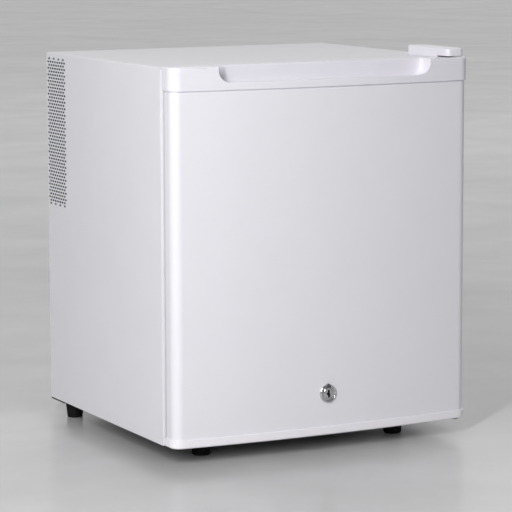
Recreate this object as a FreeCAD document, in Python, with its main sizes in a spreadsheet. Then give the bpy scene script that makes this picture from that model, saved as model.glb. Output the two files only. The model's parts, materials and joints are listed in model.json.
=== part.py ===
import FreeCAD, Part
import Sketcher
import math
import os

# Minibar fridge with a thermoelectric cooler
# X runs across the front, +Y to the rear, +Z up, and Z = 0 is the floor under the feet
# Lengths are in millimetres

SIZES = {
    # Case
    "width": 400.0,
    "case_height": 443.0,
    "case_depth": 336.0,
    "foot_height": 21.0,
    "sheet": 0.8,
    "case_bend": 2.5,
    "case_flange": 18.0,
    "top_lip": 14.0,
    "lip_overlap": 1.5,
    "rear_flange": 10.0,
    "pan_sheet": 1.0,
    "pan_upturn": 12.0,
    "joint_play": 0.2,
    "seat_gap": 0.3,
    "overrun": 5.0,
    # Vent slots in the sides
    "vent_from_rear": 6.0,
    "vent_from_top": 7.5,
    "vent_pitch_along": 7.25,
    "vent_pitch_down": 4.08,
    "vent_slot_length": 4.2,
    "vent_slot_height": 2.2,
    "vent_margin": 1.5,
    # Rear cover
    "cover_sheet": 1.2,
    "cover_inset": 3.0,
    "cover_leg_length": 40.0,
    "cover_leg_thick": 2.4,
    "cover_slot_width": 46.0,
    "cover_slot_height": 4.0,
    "cover_slot_pitch": 10.0,
    "cover_slot_gap": 10.0,
    "cover_slot_drop": 20.0,
    "small_screw_head": 3.6,
    "small_screw_head_height": 1.8,
    "small_screw_shank": 1.9,
    "small_screw_length": 8.0,
    "screw_cross_width": 1.0,
    "screw_cross_depth": 0.9,
    "screw_play": 0.2,
    # Insulated box
    "side_wall": 36.0,
    "floor_wall": 38.0,
    "ceiling_wall": 40.0,
    "inner_depth": 236.0,
    "foam_depth": 274.0,
    "back_sheet": 0.6,
    "liner_wall": 1.8,
    "liner_corner": 14.0,
    "ledge_depth": 8.0,
    "ledge_height": 4.0,
    "ledge_front": 64.0,
    "ledge_length": 160.0,
    "ledge_tuck": 0.9,
    # Shelves
    "lower_shelf_rise": 122.0,
    "upper_shelf_rise": 241.0,
    "spare_ledge_rise": 62.0,
    "shelf_wire": 2.0,
    "shelf_thin_wire": 1.2,
    "shelf_front": 72.0,
    "shelf_length": 150.0,
    "shelf_side_gap": 2.5,
    "shelf_corner": 12.0,
    "shelf_wire_bite": 0.4,
    # Cooler
    "module_drop": 108.0,
    "module_side": 40.0,
    "module_thick": 3.8,
    "module_sunk": 2.0,
    "cold_block_side": 44.0,
    "cold_passage_play": 2.0,
    "cold_base_width": 110.0,
    "cold_base_height": 90.0,
    "cold_base_thick": 4.0,
    "cold_fin_depth": 14.0,
    "cold_fin_thick": 1.2,
    "hot_base_width": 160.0,
    "hot_base_height": 140.0,
    "hot_base_thick": 6.0,
    "hot_fin_depth": 24.0,
    "hot_fin_height": 112.0,
    "hot_fin_thick": 1.6,
    "hot_fin_span": 150.0,
    "hot_screw_side_inset": 18.0,
    "hot_screw_edge_inset": 7.0,
    "hot_fan_side": 92.0,
    "hot_fan_depth": 25.0,
    "cold_fan_side": 80.0,
    "cold_fan_depth": 10.0,
    "fan_wall": 2.5,
    "fan_hub_radius": 17.0,
    "fan_hub_plate": 2.0,
    "fan_strut_width": 3.0,
    "fan_axle_radius": 2.0,
    "fan_axle_play": 0.05,
    "fan_tip_gap": 1.5,
    "fan_rotor_gap": 0.8,
    "fan_blade_thick": 1.4,
    "fan_hole_inset": 3.6,
    "fan_hole_radius": 2.2,
    "fan_screw_bite": 6.0,
    "cold_cover_half": 80.0,
    "cold_cover_height": 100.0,
    "cold_cover_wall": 2.0,
    "cold_cover_corner": 8.0,
    "grille_ring_width": 2.0,
    "grille_spoke_width": 3.0,
    "outlet_slot_width": 4.0,
    "outlet_slot_height": 60.0,
    "outlet_slot_pitch": 8.0,
    # Electrics
    "supply_length": 110.0,
    "supply_depth": 42.0,
    "supply_height": 74.0,
    "supply_rise": 34.0,
    "supply_left": 150.0,
    "supply_wall": 1.2,
    "board_width": 84.0,
    "board_height": 64.0,
    "board_thick": 1.6,
    "board_post": 8.0,
    "board_post_radius": 2.5,
    "board_post_inset": 5.0,
    "board_rise": 150.0,
    "board_left": 140.0,
    "part_tall": 14.0,
    "part_low": 5.0,
    "inlet_width": 27.0,
    "inlet_height": 20.0,
    "inlet_depth": 20.0,
    "inlet_wall": 2.4,
    "inlet_flange": 10.0,
    "inlet_flange_thick": 1.4,
    "inlet_left": 140.0,
    "inlet_rise": 58.0,
    "inlet_pin_length": 14.0,
    "inlet_pin_width": 4.0,
    "inlet_pin_thick": 2.0,
    "inlet_pin_pitch": 7.0,
    "inlet_play": 0.3,
    # Light and temperature control
    "control_depth": 27.0,
    "control_front": 84.0,
    "control_length": 76.0,
    "control_height": 54.0,
    "control_drop": 14.0,
    "control_wall": 2.0,
    "control_corner": 5.0,
    "knob_radius": 15.0,
    "knob_height": 9.0,
    "knob_grip_width": 6.0,
    "knob_grip_height": 6.0,
    "knob_axle_radius": 3.0,
    "knob_axle_play": 0.05,
    "knob_from_front": 24.0,
    "knob_rib_radius": 0.8,
    "knob_axle_end": 4.0,
    "lens_from_rear": 8.0,
    "lens_length": 22.0,
    "lens_height": 38.0,
    "lens_thick": 1.6,
    "light_board_thick": 1.6,
    "light_board_inset": 3.0,
    "lamp_radius": 2.5,
    "lamp_height": 3.0,
    # Feet
    "front_left_foot_x": 139.5,
    "front_right_foot_x": 124.5,
    "front_foot_y": 22.0,
    "front_foot_radius": 11.3,
    "front_foot_chamfer": 2.0,
    "front_foot_grip": 1.2,
    "front_stud_radius": 4.0,
    "front_stud_play": 0.1,
    "front_stud_length": 22.0,
    "foot_nut_radius": 7.5,
    "foot_nut_height": 6.5,
    "rear_foot_x": 183.0,
    "rear_foot_y": 298.0,
    "rear_foot_top": 12.0,
    "rear_foot_bottom": 9.5,
    "rear_foot_well": 4.6,
    "rear_foot_well_depth": 12.0,
    "foot_screw_length": 15.0,
    # Hinges
    "hinge_inset": 10.0,
    "hinge_forward": 17.0,
    "hinge_pin_radius": 3.0,
    "hinge_pin_reach": 13.0,
    "hinge_bush_play": 0.05,
    "hinge_bush_length": 14.0,
    "hinge_bush_radius": 5.0,
    "hinge_bush_flange": 6.2,
    "hinge_bush_rim": 0.5,
    "hinge_boss_radius": 7.0,
    "hinge_boss_depth": 17.0,
    "hinge_plate": 2.0,
    "hinge_arm": 5.0,
    "top_hinge_left": 26.0,
    "top_hinge_right": 5.0,
    "top_hinge_length": 56.0,
    "top_hinge_gap": 2.5,
    "hinge_cover_left": 27.7,
    "hinge_cover_right": 3.5,
    "hinge_cover_front": 23.5,
    "hinge_cover_rear": 73.0,
    "hinge_cover_height": 11.3,
    "hinge_cover_wall": 1.2,
    "hinge_cover_corner": 6.5,
    "hinge_cover_edge": 1.5,
    "hinge_cover_lift": 2.2,
    "hinge_screw_head": 4.2,
    "hinge_screw_head_height": 2.2,
    "hinge_screw_shank": 2.4,
    "hinge_screw_length": 10.0,
    "hinge_screw_first": 16.0,
    "hinge_screw_pitch": 28.0,
    "bottom_hinge_length": 60.0,
    "bottom_hinge_drop": 0.7,
    # Door
    "door_depth": 30.0,
    "door_bow": 9.5,
    "door_corner": 13.5,
    "door_rise": 1.0,
    "seal_gap": 8.0,
    "cap_gap": 3.0,
    "cap_rear_corner": 3.0,
    "cap_lip": 3.0,
    "cap_wall": 2.5,
    "cap_edge": 2.0,
    "bottom_cap_edge": 2.5,
    "top_cap_height": 29.0,
    "cap_groove": 1.5,
    "bottom_cap_height": 10.0,
    "spigot": 8.0,
    "spigot_wall": 2.0,
    "skin_inset": 1.8,
    "skin_return": 14.0,
    "grip_half": 142.0,
    "grip_drop": 19.0,
    "grip_deep": 24.0,
    "grip_back": 26.0,
    "grip_lip": 3.5,
    "grip_corner": 15.0,
    "grip_inner_corner": 6.0,
    "door_liner_inset": 5.0,
    "ridge_half": 152.0,
    "ridge_width": 12.0,
    "ridge_corner": 10.0,
    "ridge_inner_corner": 4.0,
    "ridge_low": 71.0,
    "ridge_reach": 20.0,
    "ridge_below_ceiling": 10.0,
    "gasket_inset": 9.0,
    "gasket_width": 13.0,
    "gasket_base": 2.0,
    "gasket_neck": 3.0,
    "gasket_head": 8.0,
    "gasket_head_thick": 2.2,
    # Door bins
    "bin_side_gap": 4.0,
    "bin_front_gap": 1.0,
    "bin_depth": 64.0,
    "bin_wall": 2.2,
    "bin_corner": 10.0,
    "lower_bin_rise": 18.0,
    "lower_bin_height": 76.0,
    "upper_bin_rise": 196.0,
    "upper_bin_height": 52.0,
    "bin_ledge_width": 16.0,
    "bin_ledge_height": 4.0,
    "bin_ledge_length": 20.0,
    # Lock
    "lock_rise": 50.0,
    "lock_proud": 2.6,
    "lock_rim_radius": 11.3,
    "lock_rim_step": 1.0,
    "lock_body_radius": 9.25,
    "lock_body_play": 0.25,
    "lock_body_behind": 4.0,
    "lock_plug_radius": 6.3,
    "lock_plug_play": 0.05,
    "lock_plug_sunk": 0.4,
    "keyway_width": 1.8,
    "keyway_height": 8.6,
    "keyway_depth": 14.0,
    "keyway_step": 1.1,
    "lock_nut_radius": 13.0,
    "lock_nut_thick": 3.2,
    "lock_shank": 7.0,
    "cam_gap": 0.4,
    "cam_thick": 2.5,
    "cam_width": 16.0,
    "cam_reach": 30.0,
    "cam_corner": 3.0,
    "cam_play": 0.1,
    "cam_washer": 5.5,
    "cam_screw_height": 2.4,
    "cam_screw_shank": 2.0,
    "cam_screw_length": 8.0,
    # Lock strike and the pocket in the floor behind it
    "strike_thick": 1.2,
    "strike_side": 2.5,
    "strike_depth": 22.0,
    "strike_end": 18.0,
    "strike_drop": 16.0,
    "cam_pocket_side": 4.0,
    "cam_pocket_below": 4.0,
    "cam_pocket_behind": 5.0,
    # Counts
    "vent_rows": 46,
    "vent_columns": 8,
    "shelf_wires": 13,
    "cold_fins": 15,
    "hot_fins": 22,
    "fan_blades": 7,
    "grille_rings": 3,
    "grille_spokes": 6,
    "outlet_slots": 4,
    "cover_slot_rows": 16,
    "cover_slot_columns": 5,
    "foot_grips": 12,
    "knob_ribs": 18,
    "lamp_rows": 3,
    "lamp_columns": 2,
    "nut_sides": 6,
}

doc = FreeCAD.newDocument("minibar_fridge")
sheet = doc.addObject("Spreadsheet::Sheet", "Sizes")
for row, (size_name, size_value) in enumerate(SIZES.items(), start=1):
    sheet.set(f"A{row}", size_name)
    sheet.set(f"B{row}", str(size_value))
    sheet.setAlias(f"B{row}", size_name)
doc.recompute()


class Size:
    """A length with its number now and the expression that ties it to the spreadsheet."""

    def __init__(self, value, text):
        self.value = value
        self.text = text

    def __add__(self, other):
        other = as_size(other)
        return Size(self.value + other.value, f"({self.text} + {other.text})")

    def __sub__(self, other):
        other = as_size(other)
        return Size(self.value - other.value, f"({self.text} - {other.text})")

    def __rsub__(self, other):
        return as_size(other) - self

    def __radd__(self, other):
        return as_size(other) + self

    def __neg__(self):
        return Size(-self.value, f"(0 - {self.text})")

    def __mul__(self, other):
        other = as_size(other)
        return Size(self.value * other.value, f"({self.text} * {other.text})")

    def __rmul__(self, other):
        return as_size(other) * self

    def __truediv__(self, other):
        other = as_size(other)
        return Size(self.value / other.value, f"({self.text} / {other.text})")


def as_size(number):
    return number if isinstance(number, Size) else Size(float(number), repr(number))


def size(name):
    """The named cell of the spreadsheet."""
    return Size(float(sheet.get(name)), f"Sizes.{name}")


def count(name):
    return int(sheet.get(name))


def bind(thing, prop, length):
    thing.setExpression(prop, as_size(length).text)


# Solids that bind their sizes and places to the spreadsheet

nodes = []


def node(thing, label):
    """Give a finished sub-part its name."""
    thing.Label = label
    nodes.append(thing)
    return thing


def place(thing, spot):
    for axis, length in zip("xyz", spot):
        bind(thing, f"Placement.Base.{axis}", length)


def block(name, low, high):
    """A block from its low corner to its high corner."""
    solid = doc.addObject("Part::Box", name)
    for prop, near, far in zip(("Length", "Width", "Height"), low, high):
        bind(solid, prop, as_size(far) - near)
    place(solid, low)
    return solid


X_TURN = FreeCAD.Rotation(FreeCAD.Vector(0, 1, 0), 90)
Y_TURN = FreeCAD.Rotation(FreeCAD.Vector(1, 0, 0), -90)
Z_TURN = FreeCAD.Rotation()
TURNS = {"x": X_TURN, "y": Y_TURN, "z": Z_TURN}


def rod(name, axis, start, radius, length):
    """A round bar that begins at start and runs along +X, +Y or +Z."""
    solid = doc.addObject("Part::Cylinder", name)
    bind(solid, "Radius", radius)
    bind(solid, "Height", length)
    solid.Placement.Rotation = TURNS[axis]
    place(solid, start)
    return solid


def prism(name, axis, start, radius, length, sides):
    """A bar with flat sides, such as a nut, over a circle through its corners."""
    solid = doc.addObject("Part::Prism", name)
    solid.Polygon = sides
    bind(solid, "Circumradius", radius)
    bind(solid, "Height", length)
    solid.Placement.Rotation = TURNS[axis]
    place(solid, start)
    return solid


def fuse(name, *pieces):
    joined = doc.addObject("Part::MultiFuse", name)
    joined.Shapes = list(pieces)
    joined.Refine = True
    return joined


def cut(name, base, *tools):
    result = doc.addObject("Part::Cut", name)
    result.Base = base
    result.Tool = tools[0] if len(tools) == 1 else fuse(f"{name}_tools", *tools)
    result.Refine = True
    return result


def common(name, first, second):
    result = doc.addObject("Part::Common", name)
    result.Base = first
    result.Tool = second
    return result


def group(name, *solids):
    """Separate solids that are one sub-part, such as a set of screws."""
    result = doc.addObject("Part::Compound", name)
    result.Links = list(solids)
    return result


def round_edges(name, solid, radius, chosen):
    """Round the edges that the test chosen picks."""
    doc.recompute()
    picked = [n for n, edge in enumerate(solid.Shape.Edges, 1) if chosen(edge)]
    rounding = doc.addObject("Part::Fillet", name)
    rounding.Base = solid
    rounding.Edges = [(n, as_size(radius).value, as_size(radius).value) for n in picked]
    return rounding


NEARLY_ALL_SHARE = 0.999


def runs_along(edge, axis):
    """Whether an edge is straight and parallel to an axis."""
    ends = [vertex.Point for vertex in edge.Vertexes]
    if len(ends) != 2 or not isinstance(edge.Curve, Part.Line):
        return False
    way = ends[1] - ends[0]
    return abs(getattr(way, axis)) > way.Length * NEARLY_ALL_SHARE


def middle(edge):
    return edge.CenterOfMass


# Sketches whose corners are bound to the spreadsheet


def new_body(name, spot=(0, 0, 0)):
    body = doc.addObject("PartDesign::Body", name)
    place(body, spot)
    return body


def new_sketch(body, role, name, lift=0):
    """A sketch on one of the body's own origin planes, lifted off it."""
    sketch = body.newObject("Sketcher::SketchObject", name)
    plane = [feature for feature in body.Origin.OriginFeatures if feature.Role == role][0]
    sketch.AttachmentSupport = [(plane, "")]
    sketch.MapMode = "FlatFace"
    bind(sketch, "AttachmentOffset.Base.z", lift)
    return sketch


def pin_point(sketch, shape, point, u, v):
    """Hold one point of a sketch at u, v from the origin."""
    for kind, length in (("DistanceX", u), ("DistanceY", v)):
        length = as_size(length)
        held = sketch.addConstraint(Sketcher.Constraint(kind, -1, 1, shape, point, length.value))
        sketch.setExpression(f"Constraints[{held}]", length.text)


def polygon(sketch, corners):
    """A closed outline of straight edges."""
    first = sketch.GeometryCount
    spots = [FreeCAD.Vector(as_size(u).value, as_size(v).value, 0) for u, v in corners]
    for here, there in zip(spots, spots[1:] + spots[:1]):
        sketch.addGeometry(Part.LineSegment(here, there), False)
    for n in range(len(corners)):
        following = first + (n + 1) % len(corners)
        sketch.addConstraint(Sketcher.Constraint("Coincident", first + n, 2, following, 1))
    for n, (u, v) in enumerate(corners):
        pin_point(sketch, first + n, 1, u, v)


def rectangle(sketch, low, high):
    polygon(sketch, [low, (high[0], low[1]), high, (low[0], high[1])])


def circle(sketch, u, v, radius):
    centre = FreeCAD.Vector(as_size(u).value, as_size(v).value, 0)
    shape = sketch.addGeometry(Part.Circle(centre, FreeCAD.Vector(0, 0, 1), radius.value), False)
    held = sketch.addConstraint(Sketcher.Constraint("Radius", shape, radius.value))
    sketch.setExpression(f"Constraints[{held}]", radius.text)
    pin_point(sketch, shape, 3, u, v)


def pad(body, sketch, name, length, backwards=False):
    feature = body.newObject("PartDesign::Pad", name)
    feature.Profile = sketch
    feature.Reversed = backwards
    bind(feature, "Length", length)
    return feature


def pocket(body, sketch, name, length, backwards=False):
    """A cut of a stated depth, which must take material away."""
    doc.recompute()
    before = body.Shape.Volume
    feature = body.newObject("PartDesign::Pocket", name)
    feature.Profile = sketch
    feature.Reversed = backwards
    bind(feature, "Length", length)
    doc.recompute()
    if body.Shape.Volume >= before:
        raise ValueError(f"{name} cuts nothing")
    return feature


def turn(body, sketch, name):
    """A turned solid about the sketch's upright axis."""
    feature = body.newObject("PartDesign::Revolution", name)
    feature.Profile = sketch
    feature.ReferenceAxis = (sketch, ["V_Axis"])
    feature.Angle = 360
    return feature


def repeat_round(body, originals, name, copies, axis=None):
    """Copies of features about the body's upright axis."""
    pattern = body.newObject("PartDesign::PolarPattern", name)
    pattern.Originals = originals
    pattern.Axis = axis or (originals[0].Profile[0], ["N_Axis"])
    pattern.Angle = 360
    pattern.Occurrences = copies
    body.Tip = pattern
    return pattern


def repeat_along(body, originals, name, direction, length, copies):
    """Copies of features in a row of a stated length."""
    pattern = body.newObject("PartDesign::LinearPattern", name)
    pattern.Originals = originals
    pattern.Direction = (originals[0].Profile[0], [direction])
    pattern.Occurrences = copies
    bind(pattern, "Length", length)
    body.Tip = pattern
    return pattern


# Planes and places that the sub-parts share

half = size("width") / 2
gauge = size("sheet")
overrun = size("overrun")
play = size("joint_play")
lock_front = size("door_depth") + size("door_bow") - size("skin_inset") + size("lock_proud")
rear_most = size("case_depth") + size("small_screw_head_height")
front = (lock_front - rear_most) / 2
rear = front + size("case_depth")
sheet_rear = rear - size("cover_sheet")
base = size("foot_height")
top = base + size("case_height")

inner_half = half - size("side_wall")
floor = base + size("floor_wall")
ceiling = top - size("ceiling_wall")
inner_back = front + size("inner_depth")
foam_back = front + size("foam_depth")
panel_back = foam_back + size("back_sheet")
module_z = top - size("module_drop")

door_front = front - size("door_depth")
door_nose = door_front - size("door_bow")
door_back = front - size("seal_gap")
cap_back = front - size("cap_gap")
door_bottom = base
door_top = top + size("door_rise")
skin_low = door_bottom + size("bottom_cap_height")
skin_high = door_top - size("top_cap_height")
liner_face = door_back + size("liner_wall")

hinge_x = half - size("hinge_inset")
hinge_y = front - size("hinge_forward")
lock_z = base + size("lock_rise")


def inward(side, near, far):
    """The X stretch from near to far, measured inward from the left (-1) or right (1) face."""
    if side < 0:
        return near - half, far - half
    return half - far, half - near


# Screws that pass through more than one sub-part

top_flange = half - size("case_flange")
top_rear_flange = half - size("rear_flange")
small_hole = size("small_screw_shank") + size("screw_play")
hinge_hole = size("hinge_screw_shank") + size("screw_play")
front_foot_x = {-1: -size("front_left_foot_x"), 1: size("front_right_foot_x")}
COVER_SCREW_SHARES = (0.06, 0.5, 0.94)
cover_screw_places = [
    (side * (half - size("rear_flange") / 2), base + size("case_height") * share)
    for side in (-1, 1)
    for share in COVER_SCREW_SHARES
]
first_hinge_screw = front + size("hinge_screw_first")
top_hinge_screw_places = [first_hinge_screw, first_hinge_screw + size("hinge_screw_pitch")]
CLOSE_PITCH_SHARE = 0.6
bottom_hinge_screw_places = [first_hinge_screw,
                             first_hinge_screw + size("hinge_screw_pitch") * CLOSE_PITCH_SHARE]

# Case panels


def slot_wire(y, z, plane_x):
    """One vent slot's outline, a bar with round ends, on the side's outer face."""
    end = size("vent_slot_height").value / 2
    reach = size("vent_slot_length").value / 2 - end

    def spot(along, up):
        return FreeCAD.Vector(plane_x, y + along, z + up)

    return Part.Wire([
        Part.LineSegment(spot(-reach, end), spot(reach, end)).toShape(),
        Part.Arc(spot(reach, end), spot(reach + end, 0), spot(reach, -end)).toShape(),
        Part.LineSegment(spot(reach, -end), spot(-reach, -end)).toShape(),
        Part.Arc(spot(-reach, -end), spot(-reach - end, 0), spot(-reach, end)).toShape(),
    ])


vent_rear = rear - size("vent_from_rear") + size("vent_slot_length") / 2 + size("vent_margin")
vent_front = vent_rear - size("vent_slot_length") - 2 * size("vent_margin") \
    - (count("vent_columns") - 1) * size("vent_pitch_along")
vent_high = top - size("vent_from_top") + size("vent_slot_height") / 2 + size("vent_margin")
vent_low = vent_high - size("vent_slot_height") - 2 * size("vent_margin") \
    - (count("vent_rows") - 1) * size("vent_pitch_down")


ROW_SHIFT_SHARE = 0.5


def vent_field(name, side):
    """The slotted sheet flush in a side: staggered rows, with a sparse first and last row."""
    low_x = inward(side, as_size(0), gauge)[0].value
    y_edges = (vent_front.value, vent_rear.value)
    z_edges = (vent_low.value, vent_high.value)
    outline = Part.makePolygon([
        FreeCAD.Vector(low_x, y_edges[0], z_edges[0]),
        FreeCAD.Vector(low_x, y_edges[1], z_edges[0]),
        FreeCAD.Vector(low_x, y_edges[1], z_edges[1]),
        FreeCAD.Vector(low_x, y_edges[0], z_edges[1]),
        FreeCAD.Vector(low_x, y_edges[0], z_edges[0]),
    ])
    pitch = size("vent_pitch_along").value
    columns = count("vent_columns")
    rows = count("vent_rows")
    last_y = (rear - size("vent_from_rear")).value
    slots = []
    for row_number in range(rows):
        z = (top - size("vent_from_top") - row_number * size("vent_pitch_down")).value
        sparse = row_number in (0, rows - 1)
        shifted = sparse or row_number % 2 == 0
        for column in range(columns - 1 if shifted else columns):
            if not sparse or column % 2 == 0:
                y = last_y - (column + (ROW_SHIFT_SHARE if shifted else 0)) * pitch
                slots.append(slot_wire(y, z, low_x))
    field = doc.addObject("Part::Feature", name)
    field.Shape = Part.Face([outline] + slots).extrude(FreeCAD.Vector(gauge.value, 0, 0))
    return field


def quarter_bend(name, side):
    """The rounded fold along the top edge of a side panel."""
    centre_x = size("case_bend") - half if side < 0 else half - size("case_bend")
    up = FreeCAD.Vector(0, 0, 1)
    out = FreeCAD.Vector(side, 0, 0)
    forwards = FreeCAD.Vector(0, -1, 0)
    across, along = (up, out) if side < 0 else (out, up)
    quarters = []
    for part, radius in (("outer", size("case_bend")), ("inner", size("case_bend") - gauge)):
        quarter = doc.addObject("Part::Cylinder", f"{name}_{part}")
        quarter.Angle = 90
        quarter.Placement.Rotation = FreeCAD.Rotation(across, along, forwards, "XYZ")
        bind(quarter, "Radius", radius)
        bind(quarter, "Height", sheet_rear - front)
        place(quarter, (centre_x, sheet_rear, top - size("case_bend")))
        quarters.append(quarter)
    return cut(name, *quarters)


def side_panel(name, side):
    """A steel side with its top fold, a lip under the top panel, flanges and a window for the vents."""
    bend_low = top - size("case_bend")
    flat = inward(side, as_size(0), gauge)
    lip = inward(side, size("lip_overlap"), size("top_lip"))
    flange = inward(side, as_size(0), size("case_flange"))
    rear_flange = inward(side, as_size(0), size("rear_flange"))
    frame = cut(
        f"{name}_frame",
        block(f"{name}_flat", (flat[0], front, base), (flat[1], sheet_rear, bend_low)),
        block(f"{name}_window", (flat[0] - overrun, vent_front, vent_low),
              (flat[1] + overrun, vent_rear, vent_high)),
    )
    pieces = fuse(
        f"{name}_pieces",
        frame,
        quarter_bend(f"{name}_bend", side),
        block(f"{name}_lip", (lip[0], front, top - 2 * gauge), (lip[1], sheet_rear - gauge, top - gauge)),
        block(f"{name}_front", (flange[0], front, base), (flange[1], front + gauge, bend_low)),
        block(f"{name}_rear", (rear_flange[0], sheet_rear - gauge, base),
              (rear_flange[1], sheet_rear, bend_low)),
    )
    holes = [rod(f"{name}_cover_hole_{n}", "y", (x, sheet_rear - overrun, z), small_hole, 2 * overrun)
             for n, (x, z) in enumerate(cover_screw_places) if side * x.value > 0]
    if side > 0:
        holes += [rod(f"{name}_hinge_hole_{n}", "z", (hinge_x, y, top - overrun), hinge_hole, 2 * overrun)
                  for n, y in enumerate(top_hinge_screw_places)]
    return node(cut(name, pieces, *holes), name)


side_panel("left_side_panel", -1)
side_panel("right_side_panel", 1)
node(vent_field("left_vent_grille", -1), "left_vent_grille")
node(vent_field("right_vent_grille", 1), "right_vent_grille")

top_edge = half - size("case_bend")
node(cut("top_panel", fuse(
    "top_pieces",
    block("top_sheet", (-top_edge, front, top - gauge), (top_edge, sheet_rear, top)),
    block("top_front_flange", (-top_flange, front, top - size("case_flange")),
          (top_flange, front + gauge, top)),
    block("top_rear_flange", (-top_rear_flange, sheet_rear - gauge, top - size("rear_flange")),
          (top_rear_flange, sheet_rear, top)),
), *[rod(f"top_hinge_hole_{n}", "z", (hinge_x, y, top - overrun), hinge_hole, 2 * overrun)
     for n, y in enumerate(top_hinge_screw_places)]), "top_panel")


def base_plate():
    """The steel floor pan with upturned edges, and holes for the feet and the lower hinge."""
    pan_top = base + size("pan_sheet")
    inside = half - gauge
    pan_rear = sheet_rear - gauge
    pieces = [
        block("pan_floor", (-inside, front + gauge, base), (inside, pan_rear, pan_top)),
        block("pan_front", (-top_flange, front, base),
              (top_flange, front + gauge, base + size("case_flange"))),
        block("pan_rear", (-top_rear_flange, pan_rear - size("pan_sheet"), base),
              (top_rear_flange, pan_rear, base + size("pan_upturn"))),
    ]
    holes = []
    for word, side in (("left", -1), ("right", 1)):
        edge = inward(side, gauge, gauge + size("pan_sheet"))
        pieces.append(block(f"pan_{word}", (edge[0], front + gauge, base),
                            (edge[1], pan_rear, base + size("pan_upturn"))))
        holes.append(rod(f"pan_{word}_stud_hole", "z",
                         (front_foot_x[side], front + size("front_foot_y"), base - overrun),
                         size("front_stud_radius") + size("front_stud_play"), 2 * overrun))
        holes.append(rod(f"pan_{word}_screw_hole", "z",
                         (side * size("rear_foot_x"), front + size("rear_foot_y"), base - overrun),
                         small_hole, 2 * overrun))
    for number, y in enumerate(bottom_hinge_screw_places):
        holes.append(rod(f"pan_hinge_hole_{number}", "z", (hinge_x, y, base - overrun),
                         hinge_hole, 2 * overrun))
    return node(cut("base_plate", fuse("pan", *pieces), *holes), "base_plate")


base_plate()


# Fasteners


def screw(name, axis, head_at, way, head, shank):
    """A pan-head screw with a cross recess; way is 1 or -1, the direction in which its shank points."""
    head_radius, head_height = head
    shank_radius, shank_length = shank
    index = "xyz".index(axis)

    def shifted(near, far):
        """The lower end of a stretch from near to far along the shank's direction."""
        spot = list(head_at)
        spot[index] = head_at[index] + (near if way > 0 else -far)
        return tuple(spot)

    recess = size("screw_cross_depth")
    wide = head_radius * CROSS_SHARE
    thin = size("screw_cross_width") / 2
    slots = []
    for number in range(2):
        low, high = [], []
        arms = iter((wide, thin) if number == 0 else (thin, wide))
        for n, centre in enumerate(head_at):
            if n == index:
                start = centre - head_height if way > 0 else centre + head_height - recess
                low.append(start)
                high.append(start + recess)
            else:
                arm = next(arms)
                low.append(centre - arm)
                high.append(centre + arm)
        slots.append(block(f"{name}_cross_{number}", low, high))
    body = fuse(
        f"{name}_body",
        rod(f"{name}_head", axis, shifted(-head_height, as_size(0)), head_radius, head_height),
        rod(f"{name}_shank", axis, shifted(as_size(0), shank_length), shank_radius, shank_length),
    )
    return cut(name, body, *slots)


CROSS_SHARE = 0.6
SMALL_HEAD = (size("small_screw_head"), size("small_screw_head_height"))
SMALL_SHANK = (size("small_screw_shank"), size("small_screw_length"))
HINGE_HEAD = (size("hinge_screw_head"), size("hinge_screw_head_height"))
HINGE_SHANK = (size("hinge_screw_shank"), size("hinge_screw_length"))

# Rear of the case

cover_half = half - size("cover_inset")
inlet_x = half - size("inlet_left")
inlet_z = base + size("inlet_rise")


def rear_cover():
    """The black steel back with rows of slots, an opening for the inlet and a leg under the base."""
    body = new_body("rear_cover_body", (0, sheet_rear, base))
    high = size("case_height") - size("cover_inset")
    outline = new_sketch(body, "XZ_Plane", "cover_outline")
    rectangle(outline, (-cover_half, 0), (cover_half, high))
    pad(body, outline, "cover_sheet_pad", size("cover_sheet"), backwards=True)
    slots = new_sketch(body, "XZ_Plane", "cover_slots")
    columns = count("cover_slot_columns")
    step = size("cover_slot_width") + size("cover_slot_gap")
    slot_high = high - size("cover_slot_drop")
    for column in range(columns):
        left = step * (column - columns / 2) + size("cover_slot_gap") / 2
        rectangle(slots, (left, slot_high - size("cover_slot_height")),
                  (left + size("cover_slot_width"), slot_high))
    first = pocket(body, slots, "cover_slot_row", overrun)
    rows = count("cover_slot_rows")
    pattern = repeat_along(body, [first], "cover_slot_rows", "V_Axis",
                           size("cover_slot_pitch") * (rows - 1), rows)
    pattern.Reversed = True
    leg = block("cover_leg", (-(half - play - gauge), sheet_rear - size("cover_leg_length"),
                              base - size("cover_leg_thick")),
                (half - play - gauge, rear, base))
    holes = [
        rod(f"cover_hole_{n}", "y", (x, sheet_rear - overrun, z), small_hole, 2 * overrun)
        for n, (x, z) in enumerate(cover_screw_places)
    ]
    mouth = size("inlet_play")
    holes.append(block(
        "cover_inlet_hole",
        (inlet_x - size("inlet_width") / 2 - mouth, sheet_rear - overrun,
         inlet_z - size("inlet_height") / 2 - mouth),
        (inlet_x + size("inlet_width") / 2 + mouth, sheet_rear + overrun,
         inlet_z + size("inlet_height") / 2 + mouth),
    ))
    for word, side in (("left", -1), ("right", 1)):
        holes.append(rod(f"cover_{word}_foot_gap", "z",
                         (side * size("rear_foot_x"), front + size("rear_foot_y"), base - overrun),
                         size("rear_foot_top") + size("joint_play"), 2 * overrun - play))
    return node(cut("rear_cover", fuse("cover_whole", body, leg), *holes), "rear_cover")


rear_cover()
node(group("rear_cover_screws", *[
    screw(f"cover_screw_{n}", "y", (x, rear, z), -1, SMALL_HEAD, SMALL_SHANK)
    for n, (x, z) in enumerate(cover_screw_places)
]), "rear_cover_screws")

# Places of the cooler's parts, from the inside out

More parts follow.
